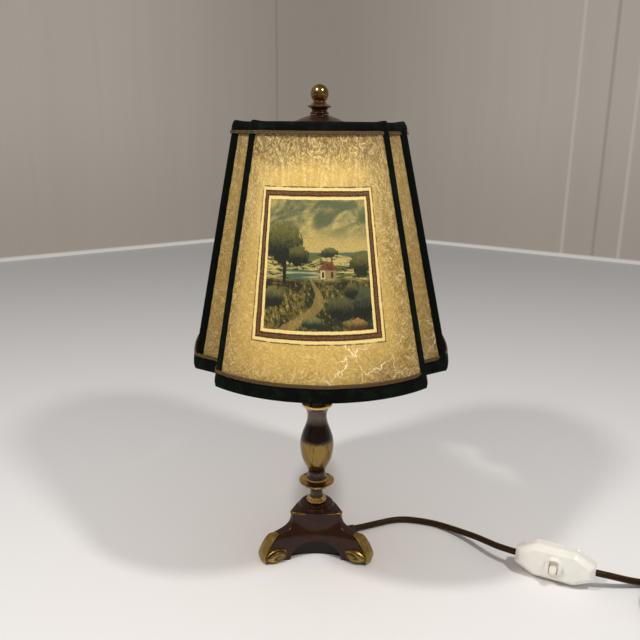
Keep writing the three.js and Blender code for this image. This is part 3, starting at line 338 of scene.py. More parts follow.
def cord_skin():
    s = Shader("brown_cord")
    streak = s.noise(s.place(), 0.5, 3, 0.6)
    return s.finish(
        Base_Color=s.mix(s.span(streak, 0.3, 0.7), (36, 23, 10), (66, 46, 21)),
        Roughness=s.span(streak, 0.3, 0.7, 0.38, 0.48), Specular_IOR_Level=0.14,
        Normal=s.bump(s.noise(s.place(), 1.6, 2), 0.1, 0.2),
    )


def brass(name, deep, bright, roughness, marks=1.0, metal=1.0):
    """Lacquered brass, with tarnish in clouds and fine turning or wiping marks."""
    s = Shader(name)
    place = s.place()
    fine = s.noise(s.stretched(place, 1, 1, 6), 0.5, 3)
    return s.finish(
        Base_Color=s.mix(s.span(s.noise(place, 0.22, 5, 0.65), 0.34, 0.66), deep, bright), Metallic=metal,
        Roughness=s.gloss(place, 0.6, roughness * 0.8, roughness * 1.5),
        Normal=s.bump(fine, 0.05 * marks, 0.2),
    )


BROWN_DEEP, BROWN = (40, 24, 18), (62, 40, 33)
AMBER_DEEP, AMBER = (104, 82, 38), (182, 152, 84)
POLISH_DEEP, POLISH = (176, 142, 80), (232, 202, 130)


def lacquer(name, gold, deep=BROWN_DEEP, light=BROWN, metal=0.25, shaded_inside=False, gloss=0.07):
    """Dark brown lacquer that lets amber brass through where gold(shader, place) is 1."""
    s = Shader(name)
    place = s.place()
    share = gold(s, place)
    cloud = s.span(s.noise(place, 0.14, 5, 0.6), 0.3, 0.72)
    brown = s.mix(cloud, deep, light)
    # Painted shade: the inner faces of a hollow piece are darker.
    if shaded_inside:
        brown = s.mix(s.stored("shaded_inside"), brown, (28, 17, 12))
    return s.finish(
        Base_Color=s.mix(share, brown, s.mix(cloud, AMBER_DEEP, AMBER)),
        Metallic=s.span(share, 0.0, 1.0, metal, 1.0), Roughness=s.gloss(place, 0.5, 0.16, 0.28),
        Specular_IOR_Level=0.26, Coat_Weight=gloss, Coat_Roughness=0.06,
        Normal=s.bump(s.noise(place, 0.22, 3), 0.06, 0.5),
    )


def patchy(scale, detail, low, high, most):
    """Worn spots for a lacquer: up to most, where the noise is high."""
    return lambda s, place: s.span(s.noise(place, scale, detail), low, high, 0.0, most)


def band_of_height(s, place, *stops):
    """Steps between heights: (height, softness, up) turns the share on or off on the way up."""
    z = s.parts(place)[2]
    share = None
    for height, soft, up in stops:
        step = s.span(z, height - soft, height + soft, 0.0 if up else 1.0, 1.0 if up else 0.0)
        share = share * step if share else step
    return share


def vase_skin():
    """Mauve neck, a dark band of painted reflection of the shade's dark lower hem, golden belly and grey
    collars with cream-gold lines.
    """
    s = Shader("vase_lacquer")
    place = s.place()
    z = s.parts(place)[2]
    streak = s.noise(s.stretched(place, 0.5, 0.5, 0.03), 1.0, 3, 0.55)
    sag = z + (streak - 0.5) * 5.0
    # Painted reflection: the dark wine band stands for the shade's dark lower hem mirrored in the lacquer.
    wine = s.mix(s.span(streak, 0.45, 0.7), (22, 7, 6), (58, 20, 14))
    gold = s.mix(s.span(streak, 0.31, 0.41), (90, 68, 30), (140, 114, 58))
    gold = s.mix(s.span(z, 81.0, 77.5), gold, (96, 72, 36))
    neck = s.mix(s.span(s.noise(place, 0.2, 3), 0.3, 0.7), (78, 62, 54), (98, 80, 70))
    collar = s.mix(s.span(s.noise(place, 0.3, 3), 0.3, 0.7), (70, 54, 44), (94, 76, 64))
    is_gold = s.span(z, 75.6, 77.2) * s.span(sag, 108.4, 104.0)
    in_hem_reflection = s.span(sag, 104.0, 108.4) * s.span(z, 123.5, 119.5)
    foot_line = band_of_height(s, place, (66.7, 0.25, True), (68.7, 0.25, False))
    rim = s.most(foot_line, band_of_height(s, place, (137.2, 0.5, True)))
    colour = s.mix(s.span(z, 88.0, 84.0), neck, collar)
    return s.finish(
        Base_Color=s.layers(colour, (is_gold, gold), (in_hem_reflection, wine), (rim, (214, 186, 118))),
        Metallic=s.span(s.most(rim, is_gold), 0.0, 1.0, 0.3, 1.0),
        Roughness=s.gloss(place, 0.5, 0.16, 0.28), Coat_Weight=0.3, Coat_Roughness=0.08,
        Normal=s.bump(s.noise(place, 0.22, 3), 0.05, 0.4),
    )


def velvet(name, dark, pile_sheen):
    s = Shader(name)
    place = s.place()
    pile = s.noise(place, 1.7, 4, 0.7)
    brushed = s.span(s.noise(place, 0.12, 3), 0.42, 0.68)
    lint = s.span(s.noise(place, 1.1, 2, 0.5), 0.72, 0.8)
    # Painted sheen: lighter green where the pile is high and brushed.
    return s.finish(
        Base_Color=s.layers(dark, (s.span(pile, 0.45, 0.75) * brushed, pile_sheen), (lint * 0.3, (120, 140, 120))),
        Roughness=1.0, Specular_IOR_Level=0.1,
        Sheen_Weight=0.05, Sheen_Roughness=0.5, Sheen_Tint=(90, 130, 100),
        Normal=s.bump(pile, 0.7, 0.6),
    )


def braid_skin():
    """Brown braid of two twisted cords."""
    s = Shader("braid")
    x, y, z = s.parts(s.place())
    run = x * 1.1 + y * 1.1
    twist = s.sine(run * 3.2 + z * 3.2)
    # Painted light and shade of the twist: lighter on the strands and darker in the dips between them, with
    # some random tone.
    share = twist * 0.25 + s.noise(s.place(), 1.1, 3)
    return s.finish(
        Base_Color=s.mix(s.span(share, 0.2, 0.85), (44, 30, 16), (124, 98, 62)),
        Roughness=0.7, Specular_IOR_Level=0.2,
        Normal=s.bump(twist, 0.4, 0.3),
    )


def parchment_sheet(s, half_low, half_high, worn):
    """Colour, glow and relief of the marbled parchment, from the flat place (across, height, side)."""
    across, height, side = s.parts(s.stored("flat", "Vector"))
    depth = side * 30.0
    flat = s.vector(across, height, depth)
    half = s.span(height, 188.0, 372.0, half_low, half_high)
    edge = abs(across + 4.0) / half
    # Where the sheet creased: along the top, beside the ribbons, low down, and in loose patches
    patches = s.noise(flat, 0.045, 3)
    top = s.span(height + patches * 24.0, 344.0, 366.0) * (0.5 if worn else 0.86)
    low = s.span(height + patches * 40.0, 246.0, 212.0)
    sides = s.span(edge + patches * 0.4, 0.86, 1.1)
    rough = s.most(top, sides * 0.62, low * 0.66, s.span(patches, 0.52, 0.68, 0.0, 0.45), worn + 0.24)
    # Wrinkles: thin level lines of clouds stretched along a slope; each dark line is the sheet's brown
    # grain with painted shade in its crease, and the pale line beside it is a painted highlight on the
    # ridge
    bend = s.noise(flat, 0.05, 2) * 26.0

    def creases(slope, squeeze, scale):
        along = (across * slope + height) * squeeze
        cloud = s.noise(s.vector(across + bend - height * slope, along, depth), scale, 3, 0.56)
        return [s.span(abs(cloud - level), 0.056, 0.02) for level in (0.5, 0.59)]

    near_top = s.span(height, 300.0, 330.0)
    below = s.span(near_top, 1.0, 0.0, 0.3, 1.0)
    steep, steep_pale = creases(0.35, 0.3, 0.56)
    rising, rising_pale = creases(-0.8, 0.24, 0.46)
    falling, falling_pale = creases(1.1, 0.24, 0.4)
    speck = s.span(s.noise(flat, 0.85, 3, 0.75), 0.44, 0.36)
    dark = s.most(steep * near_top, rising, falling * below, speck * 0.55) * rough
    pale_speck = s.span(s.noise(flat, 0.95, 3, 0.75), 0.6, 0.7)
    pale = s.most(steep_pale * near_top, rising_pale, falling_pale * below, pale_speck * 0.6)
    pale = pale * s.span(rough, 0.0, 1.0, 0.3, 0.85)
    # Fine ripples in the plain areas, drawn as lines of painted shade
    ripple = s.sine(height * 2.9 + across * 1.1 + s.noise(flat, 0.1, 3, 0.6) * 26.0)
    broken = s.span(s.noise(flat, 0.3, 3, 0.6), 0.44, 0.58)
    dark = s.most(dark, s.span(ripple, 0.2, 0.9) * broken * 0.38)
    # Long soft streaks that run down from the top
    streak = s.span(s.noise(s.stretched(flat, 0.42, 0.05, 1), 1.0, 3, 0.6, 0.4), 0.44, 0.68)
    streak = streak * s.span(height, 268.0, 330.0)
    # Cream cracks and dark scores low on the sheet
    bent = s.vector(across + s.noise(flat, 0.12, 3) * 16.0, height + s.noise(flat, 0.1, 3) * 16.0, depth)
    crack_here = s.span(height, 236.0, 228.0) * s.span(s.noise(flat, 0.05, 2), 0.4, 0.5)
    crack_here = crack_here * s.span(across, -30.0, 20.0, 0.0, 0.9)
    crack = s.span(s.cells(bent, 0.06, "DISTANCE_TO_EDGE"), 0.018, 0.004) * crack_here
    slant = s.vector(across * 0.75 + height * 0.66, (height - across) * 0.07, depth)
    score_here = s.span(height, 226.0, 214.0) * s.span(across, -20.0, 20.0, 0.3, 1.0)
    score = s.span(s.noise(slant, 0.5, 2, 0.6), 0.64, 0.7) * score_here
    # Lamplight is strongest round the picture's top and fades to the rims
    glow = s.span(edge, 1.3, 0.3) * s.span(height, 180.0, 246.0, 0.4, 1.0)
    glow = glow * s.span(height, 374.0, 330.0, 0.1, 1.0)
    # The sheet is painted lighter where the glow is: painted lamplight.
    colour = s.mix(glow, (174, 142, 80), (218, 180, 94))
    if not worn:
        # Painted shade: a darker tone low on the right and in a band along the top.
        shade_tone = (140, 108, 54)
        corner = s.span(across, 10.0, 40.0, 0.0, 0.5) * s.span(height, 226.0, 206.0)
        top_shade = s.span(height - across * 0.25, 346.0, 368.0, 0.0, 0.42)
        colour = s.layers(colour, (corner, shade_tone), (top_shade, shade_tone))
    colour = s.layers(
        colour, (s.span(patches, 0.35, 0.65) * 0.2, (230, 196, 114)), (streak * 0.45, (250, 224, 152)),
        (pale * 0.5, (246, 222, 158)), (dark * 0.85, (78, 54, 24)),
        (score * 0.7, (74, 50, 22)), (crack * 0.85, (255, 242, 200)),
    )
    return colour, glow, pale - dark + crack, (across, height, side, flat)


# The picture's trees: place, size, shaded and lit colour
FAR_TREES = [
    ((0.22, 0.6), (0.16, 0.04), (40, 50, 34), (104, 104, 60)),
    ((-0.66, 0.66), (0.36, 0.16), (26, 32, 20), (104, 100, 50)),
    ((-0.36, 0.57), (0.2, 0.08), (26, 32, 20), (96, 94, 48)),
    ((0.84, 0.5), (0.22, 0.1), (30, 38, 24), (104, 98, 50)),
]
NEAR_BUSHES = [
    ((0.86, 0.2), (0.3, 0.13), (22, 26, 20), (78, 80, 52)),
    ((0.42, 0.17), (0.26, 0.09), (24, 30, 22), (84, 84, 50)),
    ((0.62, 0.31), (0.13, 0.06), (28, 32, 20), (96, 90, 48)),
    ((-0.84, 0.25), (0.2, 0.08), (30, 34, 20), (110, 100, 50)),
    ((-0.1, 0.06), (0.2, 0.05), (30, 44, 32), (116, 112, 62)),
    ((0.72, 0.04), (0.16, 0.05), (70, 52, 26), (150, 116, 62)),
]


def landscape(s, x, y):
    """A plain countryside view: x from -1 to 1 across, y from 0 to 1 up."""
    step = s.span
    here = s.vector(x * 0.76, y)
    rough = (s.noise(here, 14.0, 4, 0.7) - 0.5) * 1.7
    leaves = s.noise(here, 24.0, 4, 0.75)

    def lay(share, coat):
        nonlocal colour
        colour = s.mix(share, colour, coat)

    def blob(place, size, ragged):
        """1 inside a rough-edged round patch."""
        across, up = [(v - c) / r for v, c, r in zip((x, y), place, size)]
        return step(s.math("SQRT", across * across + up * up) + ragged, 1.06, 0.94)

    def box(cx, cy, half_wide, half_high):
        wide = step(abs(x - cx), half_wide + 0.006, half_wide - 0.006)
        return wide * step(abs(y - cy), half_high + 0.004, half_high - 0.004)

    def trees(groups):
        """Rough round crowns, lit from above."""
        for place, size, shade, light in groups:
            lit = s.span(y, place[1] - size[1], place[1] + size[1], 0.0, 0.5) + leaves * 0.6
            lay(blob(place, size, rough), s.mix(step(lit, 0.4, 0.85), shade, light))

    # Sky, with banks of cloud that thin out towards the horizon
    slant = s.vector(x * 1.1 + y * -1.2, y * 3.2)
    colour = s.mix(step(s.noise(slant, 1.5, 7, 0.6, 0.5), 0.42, 0.64), (92, 98, 64), (186, 166, 98))
    lay(s.span(s.noise(slant, 3.6, 5, 0.6), 0.46, 0.64, 0.0, 0.55), (88, 98, 70))
    lay(step(y, 0.84, 0.62), (190, 164, 94))
    # Far hills, then fields divided by hedges
    ridge = 0.6 + (s.noise(s.vector(x, 0.0), 1.6, 3) - 0.5) * 0.07
    lay(step(ridge - y, -0.003, 0.003), (86, 100, 76))
    rise = y - (s.noise(here, 2.2, 2) - 0.5) * 0.09
    land = step(rise, 0.586, 0.58)
    strips = s.noise(s.vector(x, rise * 17.0), 1.5, 2)
    lay(land, s.mix(step(strips, 0.44, 0.56), (92, 96, 52), (190, 170, 98)))
    hedge = step(s.noise(s.vector(x * 5.0, rise * 42.0), 1.0, 4, 0.7), 0.53, 0.57)
    lay(hedge * land * 0.92, (34, 42, 26))
    # A still pond in the middle distance
    pond = blob((-0.3, 0.43), (0.36, 0.034), rough * 0.3)
    glint = step(s.noise(s.vector(x, y * 30.0), 1.4, 2), 0.4, 0.6)
    lay(pond, s.mix(glint, (70, 92, 76), (168, 162, 112)))
    # Near meadow with tufts of grass
    blades = s.noise(s.vector((x + y * 0.5) * 9.0, y * 12.0), 2.0, 5, 0.75)
    meadow = s.mix(step(s.noise(here, 3.4, 3), 0.42, 0.6), (46, 48, 26), (118, 102, 46))
    meadow = s.mix(step(blades, 0.53, 0.44) * 0.88, meadow, (34, 34, 18))
    meadow = s.mix(step(blades, 0.57, 0.66) * 0.6, meadow, (204, 182, 98))
    lay(step(rise, 0.42, 0.36) * (1.0 - pond), meadow)
    # A pale lane that winds up from the left to a cottage
    lane_x = s.sine(y * 10.5) * 0.28 + s.span(y, 0.0, 0.4, -0.6, 0.1)
    lane = abs(x - lane_x) / s.span(y, 0.0, 0.44, 0.17, 0.02)
    lane = step(lane + rough * 0.7, 1.1, 0.8) * step(y, 0.42, 0.38)
    lay(lane * 0.5, (166, 138, 78))
    trees(FAR_TREES)
    lay(blob((-0.64, 0.47), (0.035, 0.13), 0.0) * step(y, 0.56, 0.53), (30, 24, 16))
    # The cottage: cream wall, red tiled roof, door and window, chimney
    lay(box(0.2, 0.435, 0.15, 0.035), s.mix(step(x, 0.12, 0.16), (196, 176, 120), (140, 118, 76)))
    gable = step(s.span(y, 0.465, 0.53, 0.19, 0.09) - abs(x - 0.2), 0.0, 0.01)
    lay(gable * box(0.2, 0.497, 0.3, 0.033), s.mix(step(leaves, 0.4, 0.6), (80, 48, 28), (126, 82, 48)))
    for opening_x in (0.1, 0.27):
        lay(box(opening_x, 0.43, 0.02, 0.022), (36, 28, 20))
    lay(box(0.27, 0.54, 0.018, 0.02), (120, 62, 36))
    # Rail fence across the meadow
    rail = y - x * -0.03
    rails = s.most(*(step(abs(rail - at), 0.006, 0.002) for at in (0.345, 0.318)))
    posts = step(abs(s.sine(x * 17.0)), 0.2, 0.1) * step(abs(rail - 0.328), 0.03, 0.026)
    lay(s.most(rails, posts) * step(x, -0.3, -0.34), (44, 32, 20))
    trees(NEAR_BUSHES)
    return s.mix(s.span(s.noise(here, 60.0, 3), 0.42, 0.66, 0.0, 0.25), colour, (52, 52, 32))


# The picture's edges on the panel, and how far left its middle lies
PRINT_LOW, PRINT_HIGH, PRINT_LEFT = 235.1, 320.6, 1.6
# Widths of its frame above and below, and how soft the frame's lines are as a share of its width
FRAME_ABOVE, FRAME_BELOW, LINE_SOFT = 8.7, 9.3, 0.03


def printed(s, colour, across, height, flat):
    """The framed picture on a panel; outside its thin line the parchment shows."""
    wave = (s.noise(flat, 0.12, 2) - 0.5) * 0.7
    off = abs(across + PRINT_LEFT) + wave
    # Half widths of the picture and of its frame, which narrow towards the top
    half = height * -0.0725 + 55.65
    outer = height * -0.1014 + 71.56
    side = (off - half) / (outer - half)
    top = (height + wave - PRINT_HIGH) / FRAME_ABOVE
    low = (PRINT_LOW - (height + wave)) / FRAME_BELOW
    out = s.most(side, top, low) + (s.noise(flat, 0.9, 2) - 0.5) * 0.1
    x = (across + PRINT_LEFT) / half
    y = (height - PRINT_LOW) / (PRINT_HIGH - PRINT_LOW)
    grain = s.noise(flat, 1.0, 4, 0.7)
    band = s.mix(s.span(grain, 0.4, 0.62), (66, 40, 18), (130, 90, 48))
    cream = s.mix(s.span(grain, 0.3, 0.8), (240, 212, 138), (222, 190, 116))
    ink = (46, 26, 16)
    worn = s.span(s.noise(flat, 0.25, 2), 0.36, 0.5, 0.35, 0.9)

    def between(a, b):
        return s.span(out, a - LINE_SOFT, a + LINE_SOFT) * s.span(out, b + LINE_SOFT, b - LINE_SOFT)

    return s.layers(
        colour, (s.span(out, 1.0, 0.96), cream), (between(0.27, 0.66), band),
        (s.most(between(0.24, 0.36), between(0.58, 0.68)) * 0.9, ink), (between(0.91, 1.0) * worn, ink),
        (s.span(out, 0.03, -0.01), landscape(s, x, y)),
    )


def parchment(name, view, light, shade=1.0, halves=(78.0, 47.0), worn=0.0):
    """Parchment of a panel with the given half widths low down and high up, with or without the picture."""
    s = Shader(name)
    colour, glow, relief, (across, height, side, flat) = parchment_sheet(s, *halves, worn)
    if view:
        colour = s.mix(s.span(side, -0.5, 0.5), colour, printed(s, colour, across, height, flat))
    if shade != 1.0:
        colour = s.mix(1.0, colour, (shade, shade, shade * 1.06, 1.0), "MULTIPLY")
    # The sheet also glows with this painted lamplight; light sets how strongly.
    lit = s.mix(s.span(glow, 0.0, 1.0, 0.3, 1.0), (0, 0, 0), colour)
    return s.finish(
        Base_Color=colour, Roughness=0.5, Specular_IOR_Level=0.3,
        Emission_Color=lit, Emission_Strength=light,
        Normal=s.bump(relief, 0.3, 0.5),
    )


# Camera and stage

LENS, SENSOR = 38.81, 36
CAMERA_PLACE = Vector((0.0018, -0.556, 0.3654))
CAMERA_DIP, CAMERA_ROLL = math.radians(15.3), math.radians(0.5)

camera = add_object("camera", bpy.data.cameras.new("camera"))
camera.data.lens, camera.data.sensor_width = LENS, SENSOR
camera.matrix_world = (
    Matrix.Translation(CAMERA_PLACE)
    @ Matrix.Rotation(math.pi / 2 - CAMERA_DIP, 4, "X") @ Matrix.Rotation(CAMERA_ROLL, 4, "Z")
)
camera.data.clip_start, camera.data.clip_end = 0.01, 30
bpy.context.scene.camera = camera
bpy.context.scene.view_settings.view_transform = "Standard"

# The table top, in metres: its far corner, and the left and right ends of its two far edges
CORNER, LEFT_END, RIGHT_END = (-0.01, 2.034), (-3.6, -0.618), (3.74, -0.442)
NEAR_EDGE, WALL_HIGH = -3.0, 2.6


def stage_sheet(name, corners, material):
    """One flat face of the stage."""
    mesh = bpy.data.meshes.new(name)
    mesh.from_pydata(corners, [], [tuple(range(len(corners)))])
    mesh.materials.append(material)
    add_object(name, mesh)


def stage_floor():
    s = Shader("floor")
    y = s.parts(s.place())[1]
    # Painted shade: the floor darkens further back, where less lamplight falls.
    colour = s.mix(s.span(y, 100.0, 1900.0), (246, 244, 244), (220, 217, 215))
    corners = [CORNER, LEFT_END, (LEFT_END[0], NEAR_EDGE), (RIGHT_END[0], NEAR_EDGE), RIGHT_END]
    material = s.finish(Base_Color=colour, Roughness=0.4, Specular_IOR_Level=0.12)
    stage_sheet("floor", [(*corner, 0.0) for corner in corners], material)


def stage_wall(name, end, seams):
    """A panelled wall behind the table; only seen or mirrored, so that it throws no light or shadow."""
    s = Shader(name)
    way = Vector((end[0] - CORNER[0], end[1] - CORNER[1], 0.0)).normalized()
    place = s.place()
    z = s.parts(place)[2]
    away = s.node("VectorMath", {0: place, 1: (CORNER[0] / MM, CORNER[1] / MM, 0.0)}, operation="SUBTRACT")
    run = s.node("VectorMath", {0: away, 1: way}, 1, operation="DOT_PRODUCT")
    grain = s.noise(s.vector(run * 0.02, z * 0.0006), 1.0, 4, 0.7)
    # Painted shade: the wall is darker towards the corner and towards the floor.
    colour = s.layers(
        s.mix(s.span(run, 20.0, 900.0), (136, 127, 118), (162, 153, 144)),
        (s.span(run, 900.0, 3200.0), (171, 163, 153)),
        (s.span(z, 500.0, 30.0, 0.0, 0.55), (138, 130, 121)),
        (s.span(grain, 0.3, 0.7, 0.0, 0.08), (122, 114, 106)),
    )
    for at, pale in seams:
        line = s.span(abs(run - at), 8.0, 1.0)
        colour = s.mix(line * 0.4, colour, (186, 178, 168) if pale else (112, 103, 95))
    colour = s.mix(s.span(z, 15.0, 7.0), colour, (192, 187, 181))
    rays = "Is Camera Ray", "Is Glossy Ray", "Is Transmission Ray"
    shown = s.most(*(s.node("LightPath", {}, ray) for ray in rays))
    clear, painted = s.node("BsdfTransparent", {}), s.node("Emission", {0: colour})
    s.tree.nodes.remove(s.surface)
    s.put(s.output.inputs[0], s.node("MixShader", {0: shown, 1: clear, 2: painted}))
    stage_sheet(name, [(*CORNER, 0), (*end, 0), (*end, WALL_HIGH), (*CORNER, WALL_HIGH)], s.material)


def small_lamp(name, place, radius, power, colour=(1.0, 0.98, 0.95)):
    data = bpy.data.lights.new(name, "POINT")
    data.energy, data.color, data.shadow_soft_size = power, colour, radius
    add_object(name, data).location = place


def surroundings():
    """Plain walls where the world is seen or mirrored; elsewhere soft air light, mostly from above."""
    world = bpy.data.worlds.new("world")
    bpy.context.scene.world = world
    world.use_nodes = True
    tree = world.node_tree
    tree.nodes.clear()

    def node(kind, **links):
        made = tree.nodes.new("ShaderNode" + kind)
        for key, value in links.items():
            tree.links.new(value, made.inputs[int(key[1:])])
        return made

    path, way = node("LightPath"), node("TexCoord")
    seen = node("Math", _0=path.outputs["Is Camera Ray"], _1=path.outputs["Is Transmission Ray"])
    seen.operation = "MAXIMUM"
    up = node("SeparateXYZ", _0=way.outputs["Generated"])
    strength = node("MapRange", _0=up.outputs[2])
    strength.inputs["To Min"].default_value, strength.inputs["To Max"].default_value = AIR_BELOW, AIR_ABOVE
    air = node("Background", _1=strength.outputs[0])
    walls, mirrored = node("Background"), node("Background")
    air.inputs[0].default_value = (1.0, 0.985, 0.965, 1.0)
    walls.inputs[0].default_value = tone(158, 150, 142)
    mirrored.inputs[0].default_value = tone(116, 106, 94)
    soft = node("MixShader", _0=path.outputs["Is Glossy Ray"], _1=air.outputs[0], _2=mirrored.outputs[0])
    mix = node("MixShader", _0=seen.outputs[0], _1=soft.outputs[0], _2=walls.outputs[0])
    node("OutputWorld", _0=mix.outputs[0])


# Strength of the air light at the horizon and straight above
AIR_BELOW, AIR_ABOVE = 0.14, 0.44

stage_floor()
surroundings()
# Each seam: its distance from the corner, and whether it is pale
stage_wall("wall_left", LEFT_END, [(177.0, False)])
stage_wall("wall_right", RIGHT_END, [(897.0, True), (988.0, False), (1060.0, True)])
# Two lamps above and beside the camera throw the shade's two shadows; a weak one stands for the bulb
small_lamp("key_right", (0.47, -0.449, 1.0), radius=0.05, power=18.4)
small_lamp("key_left", (-0.442, -0.392, 1.0), radius=0.045, power=17.9)
small_lamp("bulb_light", (0, 0, 0.24), radius=0.02, power=0.08, colour=(1.0, 0.78, 0.5))


# Cords, switch, coil, plug

CORD = 2.8
cord_skin_material = cord_skin()
cream = plastic("cream_plastic", (252, 250, 243), (248, 244, 234), 0.22, 0.3)
steel = brass("plated_steel", (120, 118, 112), (168, 166, 160), 0.3)
contact_brass = brass("contact_brass", (168, 132, 66), (206, 172, 100), 0.3)

# The strain relief leaves the base under the right back, and dips a little
SLEEVE_LONG, SLEEVE_DIP, SLEEVE_HEADING = 21.5, math.radians(5.5), math.radians(30)
SLEEVE_OUT, SLEEVE_HIGH = 19.4, 6
exit_way = direction(SLEEVE_HEADING)
sleeve_way = exit_way * math.cos(SLEEVE_DIP) - vec(0, 0, math.sin(SLEEVE_DIP))
sleeve_root = exit_way * SLEEVE_OUT + vec(0, 0, SLEEVE_HIGH)
sleeve_tip = sleeve_root + sleeve_way * SLEEVE_LONG

# The switch's half length, its heading on the table, and its tilt about the cord
SWITCH_HALF, SWITCH_HEADING, SWITCH_TILT = 32.25, math.radians(-26), math.radians(-10)
switch_way = direction(SWITCH_HEADING)
switch_start = vec(173.7, -31.7, 15.1)
switch_end = switch_start + switch_way * 2 * SWITCH_HALF

lamp_to_switch = [
    sleeve_tip + sleeve_way * SEAT / 2, sleeve_tip + sleeve_way * (SEAT / 2 + CORD), (45.4, 25, 3.5),
    (53.5, 29.1, 3.1), (62, 33, 2.9), (70.6, 36.4, 2.9), (79.3, 38.6, 2.9), (88.4, 38.8, 2.9),
    (97.3, 37.2, 2.9), (106.4, 34.7, 2.9), (115, 31.1, 3), (123.2, 25.6, 3.6), (131, 18.5, 4.8),
    (138.2, 10.3, 6.6), (145, 1.6, 8.8), (151.4, -7.8, 10.8), (157.7, -16.8, 12.6), (162.3, -22.5, 13.7),
    (167.4, -27.5, 14.7), switch_start - switch_way * (SEAT + CORD), switch_start - switch_way * SEAT,
]

# The coil's middle, its outer turn, the step between turns, and how high its cord lies at the lowest
COIL = vec(303, -99.3)
COIL_OUTER, COIL_PITCH, COIL_TURNS, COIL_LOW, COIL_LEAN = 43.256, 6.15, 7.25, 3.6, 0.75
# The turn at which the cord starts to climb to the upper layer, and the part of a turn that this takes
CLIMB_AT, CLIMB_LONG = 3.375, 0.5


def coil_point(turns):
    """The cord's middle after some turns: a layer that winds inwards, then one above that winds out."""
    climb = ease((turns - CLIMB_AT) / CLIMB_LONG)
    radius = COIL_OUTER - (COIL_TURNS / 2 - abs(turns - COIL_TURNS / 2)) * COIL_PITCH
    angle = math.pi / 2 - turns * TURN
    lean = COIL_LEAN * (radius / COIL_OUTER) * math.cos(angle - math.pi / 4)
    high = COIL_LOW + climb * COIL_PITCH + lean
    return vec(COIL[0] + radius * math.cos(angle), COIL[1] + radius * math.sin(angle), high)


COIL_STEPS = 174
turns_only = [coil_point(COIL_TURNS * i / COIL_STEPS) for i in range(COIL_STEPS + 1)]
coil_start = turns_only[0] - vec(CORD * 2, 0, 0)
coil_end = turns_only[-1] - vec(0, CORD * 2, 0)
switch_to_coil = [
    switch_end + switch_way * SEAT, switch_end + switch_way * (SEAT + CORD / 2),
    (236.4, -61.4, 14.7), (243.9, -61.6, 13), (252.4, -60.7, 10.3), (260.8, -59.4, 7.5),
    (269.4, -58.2, 5.2), (278.4, -57.2, 4.1), (287.5, -56.5, 3.9), coil_start - vec(SEAT + CORD, 0, 0),
]
PLUG_HIGH, PLUG_SIDE, PLUG_AWAY, LEAD_AWAY = 7.15, 7, 40.6, 40.3
plug_start = vec(coil_end[0] + PLUG_SIDE, coil_end[1] - PLUG_AWAY, 0)
lead_way = vec(coil_end[0] + PLUG_SIDE, coil_end[1] - LEAD_AWAY, PLUG_HIGH) - coil_end
coil_to_plug = [
    coil_end + vec(lead_way[0] * ease(i / 6), lead_way[1] * i / 6, lead_way[2] * ease(i / 6))
    for i in range(1, 7)
]


def length_of(path):
    return sum(float(np.linalg.norm(b - a)) for a, b in zip(path, path[1:])) * MM


back_route = [*switch_to_coil, coil_start, *turns_only, coil_end, *coil_to_plug]
front_path, back_path = spline(lamp_to_switch, 3), spline(back_route, 2)
front_cord = piece(
    "cord_front", tube(front_path, CORD), "root", cord_skin_material, ["cord_lamp_to_switch"],
)
back_cord = piece(
    "cord_back", tube(back_path, CORD), "root", cord_skin_material,
    ["cord_switch_to_coil", "cord_coil", "cord_coil_to_plug"],
)

# The switch, built level at the origin as in the CAD: X along the cord, Y from front to back, Z across
SWITCH = (
    Matrix.Translation(Vector((switch_start + switch_way * SWITCH_HALF) * MM))
    @ Matrix.Rotation(SWITCH_HEADING, 4, "Z") @ Matrix.Rotation(SWITCH_TILT, 4, "X")
)


def rounded_outline(corners, radius, steps=5):
    """A closed outline of (x, z) corners with each corner rounded."""
    made = []
    for i, corner in enumerate(corners):
        corner, before, after = (
            np.array(c, float) for c in (corner, corners[i - 1], corners[(i + 1) % len(corners)])
        )
        into, out = unit(before - corner), unit(after - corner)
        cut = min(radius, np.linalg.norm(before - corner) * 0.42, np.linalg.norm(after - corner) * 0.42)
        start, end = corner + into * cut, corner + out * cut
        for k in range(steps + 1):
            t = k / steps
            made.append((1 - t) ** 2 * start + 2 * t * (1 - t) * corner + t**2 * end)
    return made


SWITCH_ROUND = 1.6


def switch_ring(inset, depth):
    """The switch's outline, drawn in by an inset; its long sides slope out to a wider middle."""
    end, wide = SWITCH_HALF - inset, 14 - inset
    narrow, shoulder = 6.3 - inset * 0.7, 16.45 - inset * 0.3
    corners = [
        (end, -narrow), (end, narrow), (shoulder, wide), (-shoulder, wide),
        (-end, narrow), (-end, -narrow), (-shoulder, -wide), (shoulder, -wide),
    ]
    return [vec(x, depth, z) for x, z in rounded_outline(corners, SWITCH_ROUND)]


housing = grid([
    switch_ring(inset, depth) for inset, depth in
    [(4.7, -10), (4.2, -9.93), (3.8, -9.7), (0.5, -5.6), (0.12, -5.0), (0, -4.4), (0, 3.3), (0.25, 3.75)]
])
lid = grid([
    switch_ring(inset, depth) for inset, depth in
    [(0.3, 4.1), (0, 4.4), (0, 6.4), (0.3, 6.9), (2.9, 9.5), (3.4, 9.85), (4, 10)]
])


def collar_ring(depth, radius, squared=()):
    """A ring of the collar, or of the squared slot through it."""
    ring = squared_ring(*squared, 5, 48) if squared else [(x * radius, z * radius) for x, z in circle(48)]
    return [vec(x, depth, z) for x, z in ring]


